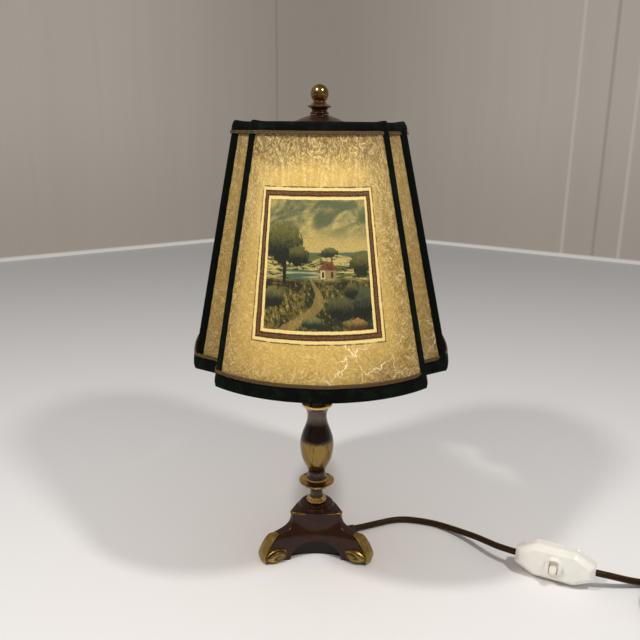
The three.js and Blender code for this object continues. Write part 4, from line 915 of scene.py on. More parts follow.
COLLAR = [(-9.7, 8.3), (-10.4, 7.5), (-11.6, 7.25), (-13, 7.15), (-13.7, 6.9), (-14, 6.5)]
COLLAR_SLOT = [(-14, 4.6, 5.95), (-13.7, 4.0, 5.8), (-12.9, 3.6, 5.75), (-10.2, 3.5, 5.7), (-9.7, 3.4, 5.6)]
SLOT_FLOOR = [(-9.2, 3.45, 5.65), (-9.75, 3.45, 5.65)]
collar = grid(
    [collar_ring(*ring) for ring in COLLAR] + [collar_ring(depth, 0, slot) for depth, *slot in COLLAR_SLOT],
    round_rows=True,
)
slot_floor = grid([collar_ring(depth, 0, slot) for depth, *slot in SLOT_FLOOR])

# The lever's bat: distance from its pin, half width, half thickness; then its pin's depth and its rest tilt
LEVER = [
    (-4.4, 2.9, 1.9), (-3.8, 3.05, 2.05), (6.4, 3.1, 2.1), (9, 3.05, 2.1), (10.7, 2.6, 1.95),
    (11.8, 1.9, 1.5), (12.4, 0.9, 0.8),
]
LEVER_PIN, LEVER_TILT = 6.8, math.radians(17)


def lever_shape():
    """The lever's rounded bat, swung to its rest tilt about its pin."""
    cos, sin = math.cos(LEVER_TILT), math.sin(LEVER_TILT)
    return grid([
        [
            vec(x, -along * cos - z * sin - LEVER_PIN, -along * sin + z * cos)
            for x, z in squared_ring(half, thick, 4, 24)
        ]
        for along, half, thick in LEVER
    ])


# Painted shade: the floor of the lever's slot is a dark piece standing for the shade in the gap.
slot_shade = plastic("slot_shade", (46, 40, 34), (30, 26, 22), 0.6, 0.0)
lever_plastic = plastic("lever_plastic", (246, 241, 230), (240, 233, 220), 0.25)
# Each piece's name, shape, body, material, CAD nodes, and the angle from which its edges look sharp
switch_pieces = [
    piece(name, shape, body, material, stands_for, sharp, SWITCH)
    for name, shape, body, material, stands_for, sharp in (
        ("switch_body", joined(housing, collar), "root", cream, ["switch_housing"], 22),
        ("switch_back", lid, "root", cream, ["switch_lid"], 22),
        ("switch_slot", slot_floor, "root", slot_shade, (), 50),
        ("switch_bat", lever_shape(), "lever", lever_plastic, ["switch_lever"], 50),
    )
]
SWITCH_SCREWS = "switch_lid_screw_left", "switch_lid_screw_right", "switch_lever_pin"
SWITCH_CONTACTS = "switch_bridge", "switch_contact_in", "switch_contact_out"
dress(steel, *SWITCH_SCREWS)
dress(contact_brass, *SWITCH_CONTACTS, "centre_contact")

# Tie: a flat strap with rounded corners round the coil's turns
tie_low, tie_high = COIL_LOW + COIL_LEAN / 2 - CORD - SEAT, COIL_LOW + COIL_PITCH + COIL_LEAN + CORD + SEAT
COIL_INNER = 22.5
tie_in, tie_out = COIL_INNER - CORD - SEAT, COIL_OUTER + CORD + SEAT
# The strap's section: how far out from its inside, and half its width there
STRAP = [
    (0.8, 1.8), (0.8, -1.8), (0.65, -2), (0.15, -2), (0, -1.8), (0, 1.8), (0.15, 2), (0.65, 2),
]


def strap():
    rows = []
    for grow, half in STRAP:
        corners = [
            (tie_in - grow, tie_low - grow), (tie_out + grow, tie_low - grow),
            (tie_out + grow, tie_high + grow), (tie_in - grow, tie_high + grow),
        ]
        rows.append([vec(r, half, z) for r, z in rounded_outline(corners, 1.0 + grow, 4)])
    return grid(rows, round_rows=True)


tie_place = Matrix.Translation(Vector((*COIL * MM, 0))) @ Matrix.Rotation(math.pi / 4, 4, "Z")
tie_plastic = plastic("tie_plastic", (34, 33, 32), (22, 22, 22), 0.5, 0.0)
tie = piece("cord_tie", strap(), "root", tie_plastic, ["coil_tie"], 50, tie_place)


# Along the plug: distance, half width, half height; two numbers where it is round
PLUG_STATIONS = [
    (0, 3.35), (0.5, 3.6), (3, 3.7), (3.5, 3.3), (4.3, 3.3), (4.8, 3.85), (7.3, 3.95), (7.8, 3.5),
    (8.6, 3.5), (9.1, 4.1), (11.6, 4.2), (12.1, 3.7), (12.9, 3.7), (13.4, 4.35), (16.5, 4.5, 4.45),
    (20, 5.2, 4.8), (22, 6.4, 5.3), (25, 8.4, 5.85), (29, 11, 6.3), (33.5, 13.6, 6.75), (38, 15.9, 6.8),
    (42, 16.9, 6.85), (48, 17.4, 6.85), (54.6, 17.5, 6.85), (55.6, 17.2, 6.5), (56, 16.4, 5.8),
]


# Where along the plug its section starts to square up, over what length, and its power before and after
SQUARE_FROM, SQUARE_OVER, ROUND_POWER, SQUARE_POWER = 18, 14, 2, 4.4


def plug_shape():
    """Flat plug along +X: a ribbed sleeve that widens into a rounded body."""
    rows = []
    for x, half, *tall in PLUG_STATIONS:
        power = ROUND_POWER + (SQUARE_POWER - ROUND_POWER) * ease((x - SQUARE_FROM) / SQUARE_OVER)
        ring = squared_ring(half, tall[0] if tall else half, power, 40)
        rows.append([vec(x, y, z + PLUG_HIGH) for y, z in ring])
    return grid(rows)


PLUG = Matrix.Translation(Vector(plug_start * MM)) @ Matrix.Rotation(-math.pi / 2, 4, "Z")
plug = piece("plug", plug_shape(), "root", cream, ["plug_body"], 50, PLUG)

# How far each pin stands from the plug's middle, and a pin's profile: radius, distance along the plug
PIN_SPREAD = 9.3
PIN = [(0, 50), (2, 50), (2, 73.8), (1.8, 74.6), (1.2, 75), (0, 75)]


def plug_pin(side):
    points, faces = lathe(PIN, 24)
    return [vec(p[2], p[0] + side * PIN_SPREAD, p[1] + PLUG_HIGH) for p in points], faces


pins = [
    piece(f"pin_{n}", plug_pin(side), "root", contact_brass, [f"plug_pin_{n}"], 50, PLUG)
    for n, side in (("left", 1), ("right", -1))
]

length_of(front_path)
[p * MM for p in spline(lamp_to_switch, 1)]
length_of(back_path)
[p * MM for p in spline(back_route, 1)]

# Shade

# Corners of the shade's plan at its lower and upper edge, each (half width, half depth)
LOW_PLAN = {"front": (75.4, 91), "inner": (75.8, 66), "outer": (96.4, 52.5)}
TOP_PLAN = {"front": (46, 57), "inner": (46.6, 42), "outer": (61, 33.5)}
# Heights of the shade's two edges, of the lower hem's top, and of the upper hem's lower edge
SHADE_LOW, SHADE_TOP, HEM_TOP, TOP_HEM_LOW = 188.2, 372.0, 199.2, 365.4
PANEL_LOW, PANEL_HIGH = 189.9, 370.3
# Each panel's two ends: kind of corner, right or left, back or front
PANELS = {
    "front": (("front", -1, -1), ("front", 1, -1)), "right": (("outer", 1, -1), ("outer", 1, 1)),
    "back": (("front", 1, 1), ("front", -1, 1)), "left": (("outer", -1, 1), ("outer", -1, -1)),
}
ORDER = ["front", "front_right", "right", "back_right", "back", "back_left", "left", "front_left"]


def level_of(z):
    return (z - SHADE_LOW) / (SHADE_TOP - SHADE_LOW)


# How far right of the middle the shade's lower edge stands
LEAN = 3.0
# How far the front and side panels bow out, at the lower and the upper edge
FRONT_BOW, SIDE_BOW = (31, 14), (6, 3.5)


def plan_corner(kind, right, back, level):
    """A corner of the shade's plan; the old frame leans, so the lower edge stands a little to the right."""
    x = lerp(LOW_PLAN[kind][0], TOP_PLAN[kind][0], level)
    y = lerp(LOW_PLAN[kind][1], TOP_PLAN[kind][1], level)
    return vec(right * x + LEAN * (1 - level), back * y)


def bowed(a, b, bow, steps):
    """An arc from a to b that stands out by bow at its middle."""
    chord = b - a
    half = np.linalg.norm(chord) / 2
    along = chord / (2 * half)
    out = vec(along[1], -along[0])
    radius = (half * half + bow * bow) / (2 * bow)
    sweep = math.asin(half / radius)
    middle = (a + b) / 2 + out * (bow - radius)
    angles = [sweep * (2 * i / steps - 1) for i in range(steps + 1)]
    return [middle + along * radius * math.sin(t) + out * radius * math.cos(t) for t in angles]


# How many stretches the bow of a front or back panel, and of a side panel, is cut into
FRONT_STEPS, SIDE_STEPS = 36, 18


def run_at(name, z):
    """The plan of one panel, or of the two flats of one corner, at a height."""
    level = level_of(z)
    if name in PANELS:
        a, b = (plan_corner(*end, level) for end in PANELS[name])
        wide = name in ("front", "back")
        bow = lerp(*(FRONT_BOW if wide else SIDE_BOW), level)
        return bowed(a, b, bow, FRONT_STEPS if wide else SIDE_STEPS)
    back, right = (1 if name.startswith("back") else -1), (1 if name.endswith("right") else -1)
    kinds = ["front", "inner", "outer"] if right * back < 0 else ["outer", "inner", "front"]
    return [plan_corner(kind, right, back, level) for kind in kinds]


def shifted(points, distance, z, looped):
    """Points moved outwards by a distance, with mitred corners."""
    made = []
    for i, p in enumerate(points):
        before = points[i - 1] if looped or i else None
        after = points[(i + 1) % len(points)] if looped or i < len(points) - 1 else None
        ways = [b - a for a, b in ((before, p), (p, after)) if a is not None and b is not None]
        normals = [unit(vec(w[1], -w[0])) for w in ways]
        normal = unit(sum(normals))
        p = p + normal * distance / max(normal.dot(normals[0]), 0.4)
        made.append(vec(p[0], p[1], z))
    return made


def refined(points, counts, looped):
    """Each straight stretch cut into a number of equal lengths."""
    made = []
    for i in range(len(points) if looped else len(points) - 1):
        a, b = points[i], points[(i + 1) % len(points)]
        made += [lerp(a, b, k / counts[i]) for k in range(counts[i])]
    return made if looped else [*made, points[-1]]


def trimmed(points, length):
    points = [p.copy() for p in points]
    points[0] += unit(points[1] - points[0]) * length
    points[-1] += unit(points[-2] - points[-1]) * length
    return points


# Levels of a panel, half its thickness, how far short of a corner it ends, and steps of each corner flat
PANEL_LEVELS, PANEL_HALF, PANEL_SHORT, FLAT_STEPS = 24, 0.4, 1.1, 7


def panel_shape(name):
    """A sheet of parchment, and the flat place (across, height, side) of each of its points."""
    counts = [1] * (len(run_at(name, PANEL_LOW)) - 1) if name in PANELS else [FLAT_STEPS] * 2
    rows, flat = [], []
    for side in (1, -1):
        for i in range(PANEL_LEVELS + 1):
            z = lerp(PANEL_LOW, PANEL_HIGH, (i if side > 0 else PANEL_LEVELS - i) / PANEL_LEVELS)
            sheet = shifted(trimmed(run_at(name, z), PANEL_SHORT), side * PANEL_HALF, z, False)
            row = refined(sheet, counts, False)
            rows.append(row)
            along = np.cumsum([0.0] + [float(np.linalg.norm(b - a)) for a, b in zip(row, row[1:])])
            flat += [(a - along[-1] / 2, z, side) for a in along]
    # Columns rather than rows, so that the closed rings of the grid run up one face and down the other
    wide = len(rows[0])
    columns = [[row[j] for row in rows] for j in range(wide)]
    return grid(columns), [flat[i * wide + j] for j in range(wide) for i in range(len(rows))]


# The side panels and corner strips are darker copies of the parchment, as painted shade; the corner strips
# have no painted glow.
paper = {
    "front": parchment("parchment_front", True, 0.22), "back": parchment("parchment_back", True, 0.22),
    "side": parchment("parchment_side", False, 0.2, 0.95, (60.0, 38.0)),
    "corner": parchment("parchment_corner", False, 0.0, 0.78, (24.0, 20.0), 0.3),
}
for name in ORDER:
    shape, flat = panel_shape(name)
    node = f"shade_panel_{name}" if name in PANELS else f"shade_corner_{name}"
    material = paper[name] if name in paper else paper["side" if name in PANELS else "corner"]
    made = piece(f"parchment_{name}", shape, "shade", material, [node], 30)
    paint(made, "flat", flat, "FLOAT_VECTOR")


# Distance between the points of a row round the shade
SPACING = 2.6


def loop_rows(section, rounds=2):
    """Closed rows round the shade, one for each (distance, height) of a section, with soft corners."""
    base = [p for name in ORDER for p in run_at(name, section[0][1])[:-1]]
    counts = [
        max(1, round(float(np.linalg.norm(base[(i + 1) % len(base)] - p)) / SPACING))
        for i, p in enumerate(base)
    ]
    rows = []
    for distance, z in section:
        coarse = [p for name in ORDER for p in run_at(name, z)[:-1]]
        row = refined(shifted(coarse, distance, z, True), counts, True)
        for _ in range(rounds if distance > 1.0 else 0):
            row = [p * 0.5 + (row[i - 1] + row[(i + 1) % len(row)]) * 0.25 for i, p in enumerate(row)]
        rows.append(row)
    return rows


def ribbon_places(z):
    return [run_at(name, z)[0] for name in ORDER]


def unevenness(p, scale, shift=0):
    """Smooth noise, from -1 to 1, that is the same on each run."""
    return noise.noise(Vector(p) * scale + Vector((shift, 0, 0)))


# Where the top hem swells over the ends of the ribbons
LUMP_LOW, LUMP_HIGH, LUMP_SPREAD = 367.5, 1.1, 22.0


def hem_piece(name, section, node, lumps=False):
    rows = loop_rows(section)
    for (distance, _), row in zip(section, rows):
        for i, p in enumerate(row):
            wave = unevenness(p, 0.09)
            out = unit(vec(p[0], p[1], 0))
            if distance > 0.8 or distance < -3.4:
                p = p + out * wave * 0.4 + vec(0, 0, 0.35 * unevenness(p, 0.05, 9))
            if lumps and p[2] > LUMP_LOW:
                near = sum(
                    math.exp(-float(np.sum((p[:2] - c) ** 2)) / LUMP_SPREAD) for c in ribbon_places(p[2])
                )
                near = min(near, 1.0)
                p = p + vec(0, 0, LUMP_HIGH * near * ease((p[2] - LUMP_LOW) / 3)) + out * 0.4 * near
            row[i] = p
    return piece(name, grid(rows, round_rows=True), "shade", velvet_green, [node], 60)


# Thickness of the frame's wire, and how far in from the plan it runs
WIRE, WIRE_IN = 1.3, 2.0


def frame_shape():
    """The wire frame: a ring in each hem, and an upright at every corner."""
    rings = []
    for z in (PANEL_LOW + WIRE, PANEL_HIGH - WIRE):
        plan = [p for name in ORDER for p in run_at(name, z)[:-1]]
        rings.append(shifted(plan, -WIRE_IN, z, True))
    count = len(rings[0])
    shapes = []
    for ring in rings:
        ways = [unit(vec(*(ring[(i + 1) % count] - ring[i - 1])[:2])) for i in range(count)]
        shapes.append(grid([
            [p + vec(way[1], -way[0], 0) * (WIRE * x) + vec(0, 0, WIRE * y) for p, way in zip(ring, ways)]
            for x, y in circle(8)
        ], round_rows=True))
    place = 0
    for name in ORDER:
        steps = len(run_at(name, PANEL_LOW)) - 1
        for mark in ([0] if name in PANELS else [0, 1]):
            shapes.append(tube([rings[0][place + mark], rings[1][place + mark]], WIRE, 8))
        place += steps
    return joined(*shapes)


# The hems' closed sections: distance outwards from the plan, and height
HEM_LOW_SECTION = [
    (0.8, HEM_TOP), (1.5, HEM_TOP), (1.9, 198.2), (2.15, 196.4), (2.2, 193.6), (2.0, 191.0), (1.4, 189.2),
    (0.5, 188.35), (-0.8, 188.1), (-2.6, 188.15), (-3.9, 188.5), (-4.7, 189.6), (-4.9, 192),
    (-4.7, HEM_TOP), (-3.7, HEM_TOP), (-3.6, 189.5), (0.7, 189.5),
]
HEM_TOP_SECTION = [
    (0.8, TOP_HEM_LOW), (1.1, TOP_HEM_LOW), (1.5, 366.2), (1.65, 367.6), (1.6, 369.2), (1.3, 370.5),
    (0.6, 371.4), (-0.4, 371.8), (-2.2, 371.9), (-3.8, 371.6), (-4.8, 371.0), (-4.9, 369.4), (-4.7, 368.1),
    (-3.7, 368.1), (-3.6, 370.7), (0.7, 370.7),
]

velvet_green = velvet("velvet_green", (7, 10, 7), (34, 56, 40))
# A darker copy of the velvet with less painted sheen, for the outer ribbons: painted shade.
velvet_shaded = velvet("velvet_shaded", (6, 8, 7), (16, 22, 18))
hem_piece("hem_low", HEM_LOW_SECTION, "shade_hem_bottom")
hem_piece("hem_top", HEM_TOP_SECTION, "shade_hem_top", True)


# A braid's section: share of how far it stands out, and height above its lower edge
BRAID = [
    (0.6, 0), (0.9, 0.05), (1.0, 0.35), (1.0, 0.75), (0.9, 1.1),
    (0.9, 1.25), (1.0, 1.6), (1.0, 2.0), (0.9, 2.3), (0.6, 2.35),
]
OUTER_RIBBONS = (1, 2, 5, 6)


def braid_piece(name, low, proud):
    """Two twisted cords on the parchment, pulled flush where they turn the outer corners."""
    section = [(share * proud, low + rise) for share, rise in BRAID]
    rows = loop_rows(section)
    flush = loop_rows([(0.5, z) for _, z in section], rounds=0)
    outer = [ribbon_places(low)[i] for i in OUTER_RIBBONS]
    for row, base in zip(rows, flush):
        for i, p in enumerate(row):
            near = max(math.exp(-float(np.sum((p[:2] - c) ** 2)) / 90) for c in outer)
            row[i] = lerp(p, base[i], 0.85 * near) + vec(0, 0, 0.3 * unevenness(p, 0.06, 3))
    return piece(name, grid(rows, round_rows=True), "shade", braid_material, (), 60)


braid_material = braid_skin()
braid_piece("braid_low", 198.3, 2.8)
braid_piece("braid_top", 363.4, 2.3)


# Across a ribbon: on its first (0) or second (1) arm, how far along that arm, and how far it stands out
RIBBON = [
    (0, 0, 0.75), (0, 0.08, 1.25), (0, 0.3, 1.7), (0, 0.62, 1.85), (0, 0.88, 1.9), (0, 1.0, 1.7),
    (1, 0.12, 1.9), (1, 0.38, 1.85), (1, 0.7, 1.7), (1, 0.92, 1.25), (1, 1.0, 0.75),
]
RIBBON_LEAST, RIBBON_LEVELS = 0.75, 40


def ribbon_piece(name, before, after, node, material, half):
    """A velvet ribbon folded over a corner, from one hem to the other."""
    rows = []
    for i in range(RIBBON_LEVELS + 1):
        z = lerp(HEM_TOP - 0.9, TOP_HEM_LOW + 0.4, i / RIBBON_LEVELS)
        corner = run_at(after, z)[0]
        back = unit(run_at(before, z)[-2] - corner)
        ahead = unit(run_at(after, z)[1] - corner)
        sway = 0.35 * unevenness((z * 0.05, corner[0], corner[1]), 1)
        puff = lerp(1.0, 0.72, level_of(z))
        first, last = corner + back * (half + sway), corner + ahead * (half - sway)
        row = []
        for start, share, lift in RIBBON:
            edge = shifted([first, corner, last], max(lift * puff, RIBBON_LEAST), z, False)
            row.append(lerp(edge[start], edge[start + 1], share))
        inner = [row[k] * 0.5 + (row[k - 1] + row[k + 1]) * 0.25 for k in range(1, len(row) - 1)]
        row = [row[0], *inner, row[-1]]
        row += shifted([first, corner, last], 0.65, z, False)[::-1]
        rows.append(row)
    return piece(name, grid(rows), "shade", material, [node], 60)


RIBBONS = [
    "front_right", "outer_front_right", "outer_back_right", "back_right",
    "back_left", "outer_back_left", "outer_front_left", "front_left",
]
for i, short in enumerate(RIBBONS):
    look = (velvet_shaded, 5.2) if short.startswith("outer") else (velvet_green, 4.3)
    ribbon_piece(f"ribbon_{short}", ORDER[i], ORDER[(i + 1) % 8], f"shade_ribbon_{short}", *look)

# Stem, harp, holder, bulb, cap, finial

BORE = 5.05
# Turned profiles, as shares of a radius and of a height
RING = [
    (0.9, 0), (0.985, 0.06), (1, 0.2), (0.985, 0.36), (0.9, 0.5),
    (0.82, 0.6), (0.78, 0.7), (0.79, 0.82), (0.75, 0.93), (0.7, 1),
]
SPOOL = [
    (1, 0), (1.01, 0.07), (0.96, 0.17), (0.93, 0.3), (0.925, 0.55), (0.93, 0.76), (0.97, 0.86),
    (1.01, 0.93), (1, 1),
]
DISH = [
    (0.4, 0), (0.455, 0.07), (0.465, 0.16), (0.44, 0.25), (0.42, 0.32), (0.47, 0.385),
    (0.6, 0.44), (0.76, 0.53), (0.9, 0.69), (0.98, 0.86), (1, 0.95),
]
DISH_LIP = [(0.995, 0.985), (0.98, 1), (0.955, 0.985), (0.93, 0.93)]
VASE_BELLY = [
    (0.5, 0.163), (0.54, 0.18), (0.62, 0.216), (0.783, 0.28), (0.905, 0.343), (0.976, 0.423),
    (1, 0.493), (0.956, 0.572), (0.84, 0.648), (0.72, 0.71), (0.619, 0.771),
]
VASE_TOP = [(1, 0.832), (1.03, 0.878), (1.16, 0.92), (1.37, 0.955), (1.55, 0.972)]
KNOB_FOOT = [
    (0.98, 0), (1.03, 0.02), (1.04, 0.045), (0.97, 0.075), (0.88, 0.1), (0.85, 0.13), (0.88, 0.165),
    (0.98, 0.2),
]
KNOB_FLANGE = [(1.2, 0.235), (1.3, 0.25), (1.32, 0.27), (1.28, 0.288), (1.12, 0.302)]
KNOB_NECK = [
    (1.0, 0.325), (0.88, 0.35), (0.78, 0.375), (0.71, 0.395), (0.72, 0.41), (0.7, 0.425), (0.66, 0.435),
]
# Turned profiles in millimetres
DISH_INSIDE = [(14.2, 65.2), (12.6, 64.1), (10.6, 63.3), (8.6, 63.0)]
VASE_FOOT = [
    (8.1, 63.3), (8.3, 65.2), (8.6, 66.6), (9.25, 67.2), (9.5, 67.9), (9.3, 68.7), (8.7, 69.3),
    (8.1, 70.3), (7.6, 71.4), (7.42, 72.1), (7.6, 73.0), (7.62, 73.9), (7.42, 74.7), (7.05, 75.2),
]
VASE_LIP = [(13.2, 137.9), (13.35, 138.5), (13.2, 139.3), (12.7, 139.7)]
HARP_STUD = [
    (0, 357.9), (5.4, 357.9), (6.1, 358.4), (6.2, 359), (6.2, 362.6), (5.9, 363.2),
    (5.2, 363.5), (3, 363.5), (3, 383.1), (2.7, 383.5), (0, 383.5),
]
HARP_SOCKET = [(0, 141.5), (3.6, 141.5), (3.6, 150.9), (3.3, 151.5), (2.3, 151.6), (0, 151.6)]
BULB_NECK = [(0, 183.0), (6.0, 183.0), (6.1, 186.6), (6.4, 189), (8.0, 191.7)]
BULB_PIP = [(0, 165.05), (1.6, 165.0), (2.3, 165.4), (2.4, 166.3), (4.6, 166.8), (6.2, 167.6)]
BULB_COLLAR = [(6.9, 184.6), (7.0, 185.6), (6.6, 186.3), (0, 186.3)]
DOME_UNDER = [
    (3.3, 365.8), (6.9, 365.8), (6.9, 374.6), (9.8, 373.4), (13.4, 372.0),
    (17.2, 370.6), (21.4, 369.2), (25.6, 368.0), (26.2, 367.9),
]
DOME_OVER = [
    (26.75, 368.05), (27.0, 368.7), (26.6, 369.4), (26.0, 369.8), (24.0, 370.75), (22.0, 371.5),
    (17.9, 373.4), (14.0, 375.0), (10.7, 376.2), (8.4, 377.0), (7.4, 377.5),
]
BELL = [
    (16.6, 40.6), (15.9, 41.2), (15.3, 41.9), (14.9, 42.5), (14.75, 43.0), (14.9, 43.35), (14.75, 43.75),
    (14.0, 44.1), (13.0, 44.25), (12.5, 44.5), (12.45, 44.8), (12.6, 45.1), (12.5, 45.45), (12.0, 45.7),
    (10.6, 45.78),
]


def turned(name, profile, body, material, node, bore=BORE, sides=72, sharp=35):
    if bore:
        profile = [(bore, profile[0][1]), *profile, (bore, profile[-1][1])]
    return piece(name, lathe(profile, sides), body, material, [node] if node else (), sharp)


bright = brass("amber_brass", (140, 110, 54), (206, 174, 102), 0.2)


turned(
    "ring", beads(scaled(RING, 8.85, 46.1, 4.5)), "root",
    brass("ring_brass", POLISH_DEEP, POLISH, 0.2, 1.0, 0.93), "stem_ring",
)
turned(
    "spool", beads(scaled(SPOOL, 6, 50.9, 7.9)), "root",
    lacquer("spool_lacquer", patchy(0.4, 2, 0.3, 0.7, 0.25), (56, 44, 40), (86, 72, 66)),
    "stem_spool",
)
DISH_SIZE = 15.7, 59.1, 6.9
turned(
    "dish", [*beads(scaled(DISH, *DISH_SIZE)), *scaled(DISH_LIP, *DISH_SIZE), *beads(DISH_INSIDE)], "root",
    brass("dish_brass", POLISH_DEEP, POLISH, 0.28, 1.0, 0.9), "stem_dish",
)
VASE_LOW, VASE_HEIGHT = 63.3, 76.4
vase_body = [
    *scaled(VASE_BELLY, 14.7, VASE_LOW, VASE_HEIGHT), *scaled(VASE_TOP, 8.35, VASE_LOW, VASE_HEIGHT),
]
turned(
    "vase", [*beads(VASE_FOOT, 4), *beads(vase_body), *VASE_LIP], "root", vase_skin(),
    "stem_vase",
)

wire_paint = plastic("painted_wire", (226, 218, 198), (206, 196, 172), 0.5, 0.0)
dress(steel, "stem_tube", "stem_washer", "stem_nut", "cord_clip")
dress(bright, "holder_cap", "holder_thread", "holder_shell")
dress(cord_skin_material, "inner_lead")
dress(plastic("moulded_insulator", (44, 36, 30), (30, 24, 20), 0.5, 0.0), "holder_core")
dress(wire_paint, "shade_spider")
piece("frame_wires", frame_shape(), "shade", wire_paint, ["shade_frame"], 40)


def saddle_shape():
    """The bar that carries the harp: thin, with rounded ends and a socket at each."""
    outline = []
    for x, y in circle(48):
        reach = (abs(x / SADDLE_HALF) ** 6 + abs(y / 5.2) ** 3) ** (-1 / 4.2)
        outline.append((x * reach, y * reach))
    scale = SADDLE_HALF / max(p[0] for p in outline)
    rows = [[vec(x * scale * s, y * scale * s, z) for x, y in outline] for s, z in SADDLE_LEVELS]
    points, faces = lathe(HARP_SOCKET, 28)
    sockets = [([p + vec(side * HARP_FOOT, 0, 0) for p in points], faces) for side in (-1, 1)]
    return joined(grid(rows), *sockets)


# The saddle's levels: share of its outline, and height
SADDLE_LEVELS = [(0.9, 140.15), (0.98, 140.35), (1, 140.7), (1, 141.3), (0.97, 141.6)]
SADDLE_HALF, HARP_FOOT = 22.4, 18.6
piece(
    "saddle", saddle_shape(), "root", lacquer("saddle_lacquer", patchy(0.3, 3, 0.6, 0.8, 0.4)),
    ["harp_saddle"], 40,
)

# The harp's bow: shares of its half width and of its height
HARP_LOW, HARP_HEIGHT, HARP_HALF, HARP_TOP, HARP_WIRE = 141.9, 218.8, 38, 360.7, 2.0
HARP_BOW = [
    (0.53, 0.05), (0.72, 0.14), (0.93, 0.27), (1, 0.45), (0.95, 0.66), (0.76, 0.85), (0.45, 0.965),
    (0.17, 0.997),
]
harp_right = [
    vec(HARP_FOOT, 0, HARP_LOW), vec(HARP_FOOT, 0, 151.6),
    *(vec(x * HARP_HALF, 0, HARP_LOW + z * HARP_HEIGHT) for x, z in HARP_BOW),
]
harp_line = spline([*harp_right, vec(0, 0, HARP_TOP), *[p * vec(-1, 1, 1) for p in harp_right[::-1]]], 6)
harp = joined(tube(harp_line, HARP_WIRE, 14), lathe(HARP_STUD, 36))
piece("harp_bow", harp, "root", bright, ["harp"], 40)


def opal():
    s = Shader("opal_glass")
    return s.finish(
        Base_Color=s.mix(s.span(s.noise(s.place(), 0.1, 2), 0.4, 0.6), (255, 246, 226), (255, 240, 212)),
        Roughness=0.25, Emission_Color=(255, 206, 130), Emission_Strength=0.9,
    )


def ball_profile(radius, middle, lowest, steps):
    """A ball's side from an angle below its middle to its top, without the two end points."""
    angles = np.linspace(lowest, math.pi / 2, steps)
    return [(radius * math.cos(a), middle + radius * math.sin(a)) for a in angles][1:-1]


BULB_RADIUS, BULB_MIDDLE, BULB_SHOULDER, BULB_TOP = 22.5, 212.9, math.radians(-62), 235.4
bulb_ball = ball_profile(BULB_RADIUS, BULB_MIDDLE, BULB_SHOULDER, 26)
turned("bulb_ball", [*BULB_NECK, *bulb_ball, (0, BULB_TOP)], "bulb", opal(), "bulb_glass", 0)
# The cap's thread: crests and roots in turn, from a mean radius and a lowest height
THREAD_RADIUS, THREAD_DEEP, THREAD_LOW, THREAD_STEP = 6.9, 0.28, 168.2, 0.9
cap_thread = [
    (THREAD_RADIUS + THREAD_DEEP * math.cos(k * math.pi), THREAD_LOW + k * THREAD_STEP) for k in range(18)
]
turned(
    "bulb_screw", [*BULB_PIP, *cap_thread, *BULB_COLLAR], "bulb", steel, "bulb_cap",
    bore=0, sides=40, sharp=50,
)


def dome_gold(s, place):
    """Some gold on the dome's edge."""
    return band_of_height(s, place, (369.2, 0.5, False)) * 0.6


turned(
    "dome", [*DOME_UNDER, *beads(DOME_OVER, 4), (6.9, 377.7), (3.3, 377.7)], "finial",
    lacquer("dome_lacquer", dome_gold, (38, 24, 16), (62, 40, 24)), "cap_dome", 0,
)

KNOB_RADIUS, KNOB_LOW, KNOB_HEIGHT, KNOB_THROAT, STUD_BORE = 7.1, 378.0, 22.3, 4.686, 3.3


def knob_part(shares):
    return scaled(shares, KNOB_RADIUS, KNOB_LOW, KNOB_HEIGHT)


def knob_gold(s, place):
    """Gold on the finial's ball, and half as much in its waist."""
    waist = band_of_height(s, place, (384.6, 0.4, False), (383.4, 0.3, True))
    return s.most(band_of_height(s, place, (387.4, 0.5, True)), waist * 0.5)


ball_middle = KNOB_LOW + KNOB_HEIGHT - KNOB_RADIUS
finial_ball = ball_profile(KNOB_RADIUS, ball_middle, -math.acos(KNOB_THROAT / KNOB_RADIUS), 24)
turned(
    "knob",
    [
        (STUD_BORE, KNOB_LOW), *beads(knob_part(KNOB_FOOT), 3), *knob_part(KNOB_FLANGE),
        *beads(knob_part(KNOB_NECK), 3), *finial_ball, (0.5, 400.29), (0, 400.3), (0, 383.8),
        (STUD_BORE, 383.8),
    ],
    "finial", lacquer("knob_lacquer", knob_gold, (40, 22, 15), (72, 44, 30), gloss=0.6), "finial",
    0, 64,
)

# Strain relief: a tapered sleeve with ribs that get smaller towards the tip

SLEEVE_RIBS, SLEEVE_BORE = 7, 3.1
# Along the sleeve: distance and radius, before its ribs and after them
SLEEVE_ROOT = [(-5.2, 6), (-3.2, 6), (-2.9, 4.6), (0, 4.6), (0.02, 5.0), (0.4, 5.2)]
SLEEVE_END = [(20.6, 3.85), (21.3, 3.75), (SLEEVE_LONG, 3.5)]
# A rib's section: distance along it, and how far under the rib's radius
RIB = [(0, 0), (0.25, 0.75), (0.95, 0.78), (1.2, 0.08)]
ribs = [
    (1.2 + k * 2.6 + along, 5.15 - k * 0.21 - under) for k in range(SLEEVE_RIBS) for along, under in RIB
]
sleeve_stations = [(-5.2, SLEEVE_BORE), *SLEEVE_ROOT, *ribs, *SLEEVE_END, (SLEEVE_LONG, SLEEVE_BORE)]
sleeve_side = unit(np.cross(sleeve_way, vec(0, 0, 1)))
sleeve_up = np.cross(sleeve_side, sleeve_way)
sleeve_rows = [
    [sleeve_root + sleeve_way * along + r * (x * sleeve_side + y * sleeve_up) for x, y in circle(28)]
    for along, r in sleeve_stations
]
sleeve_rubber = plastic("sleeve_rubber", (54, 44, 34), (40, 32, 24), 0.5, 0.0)
piece(
    "sleeve", grid(sleeve_rows, round_rows=True), "root", sleeve_rubber, ["cord_strain_relief"],
    30,
)

# Base casting

LEGS = [math.radians(d) for d in (90, 210, 330)]
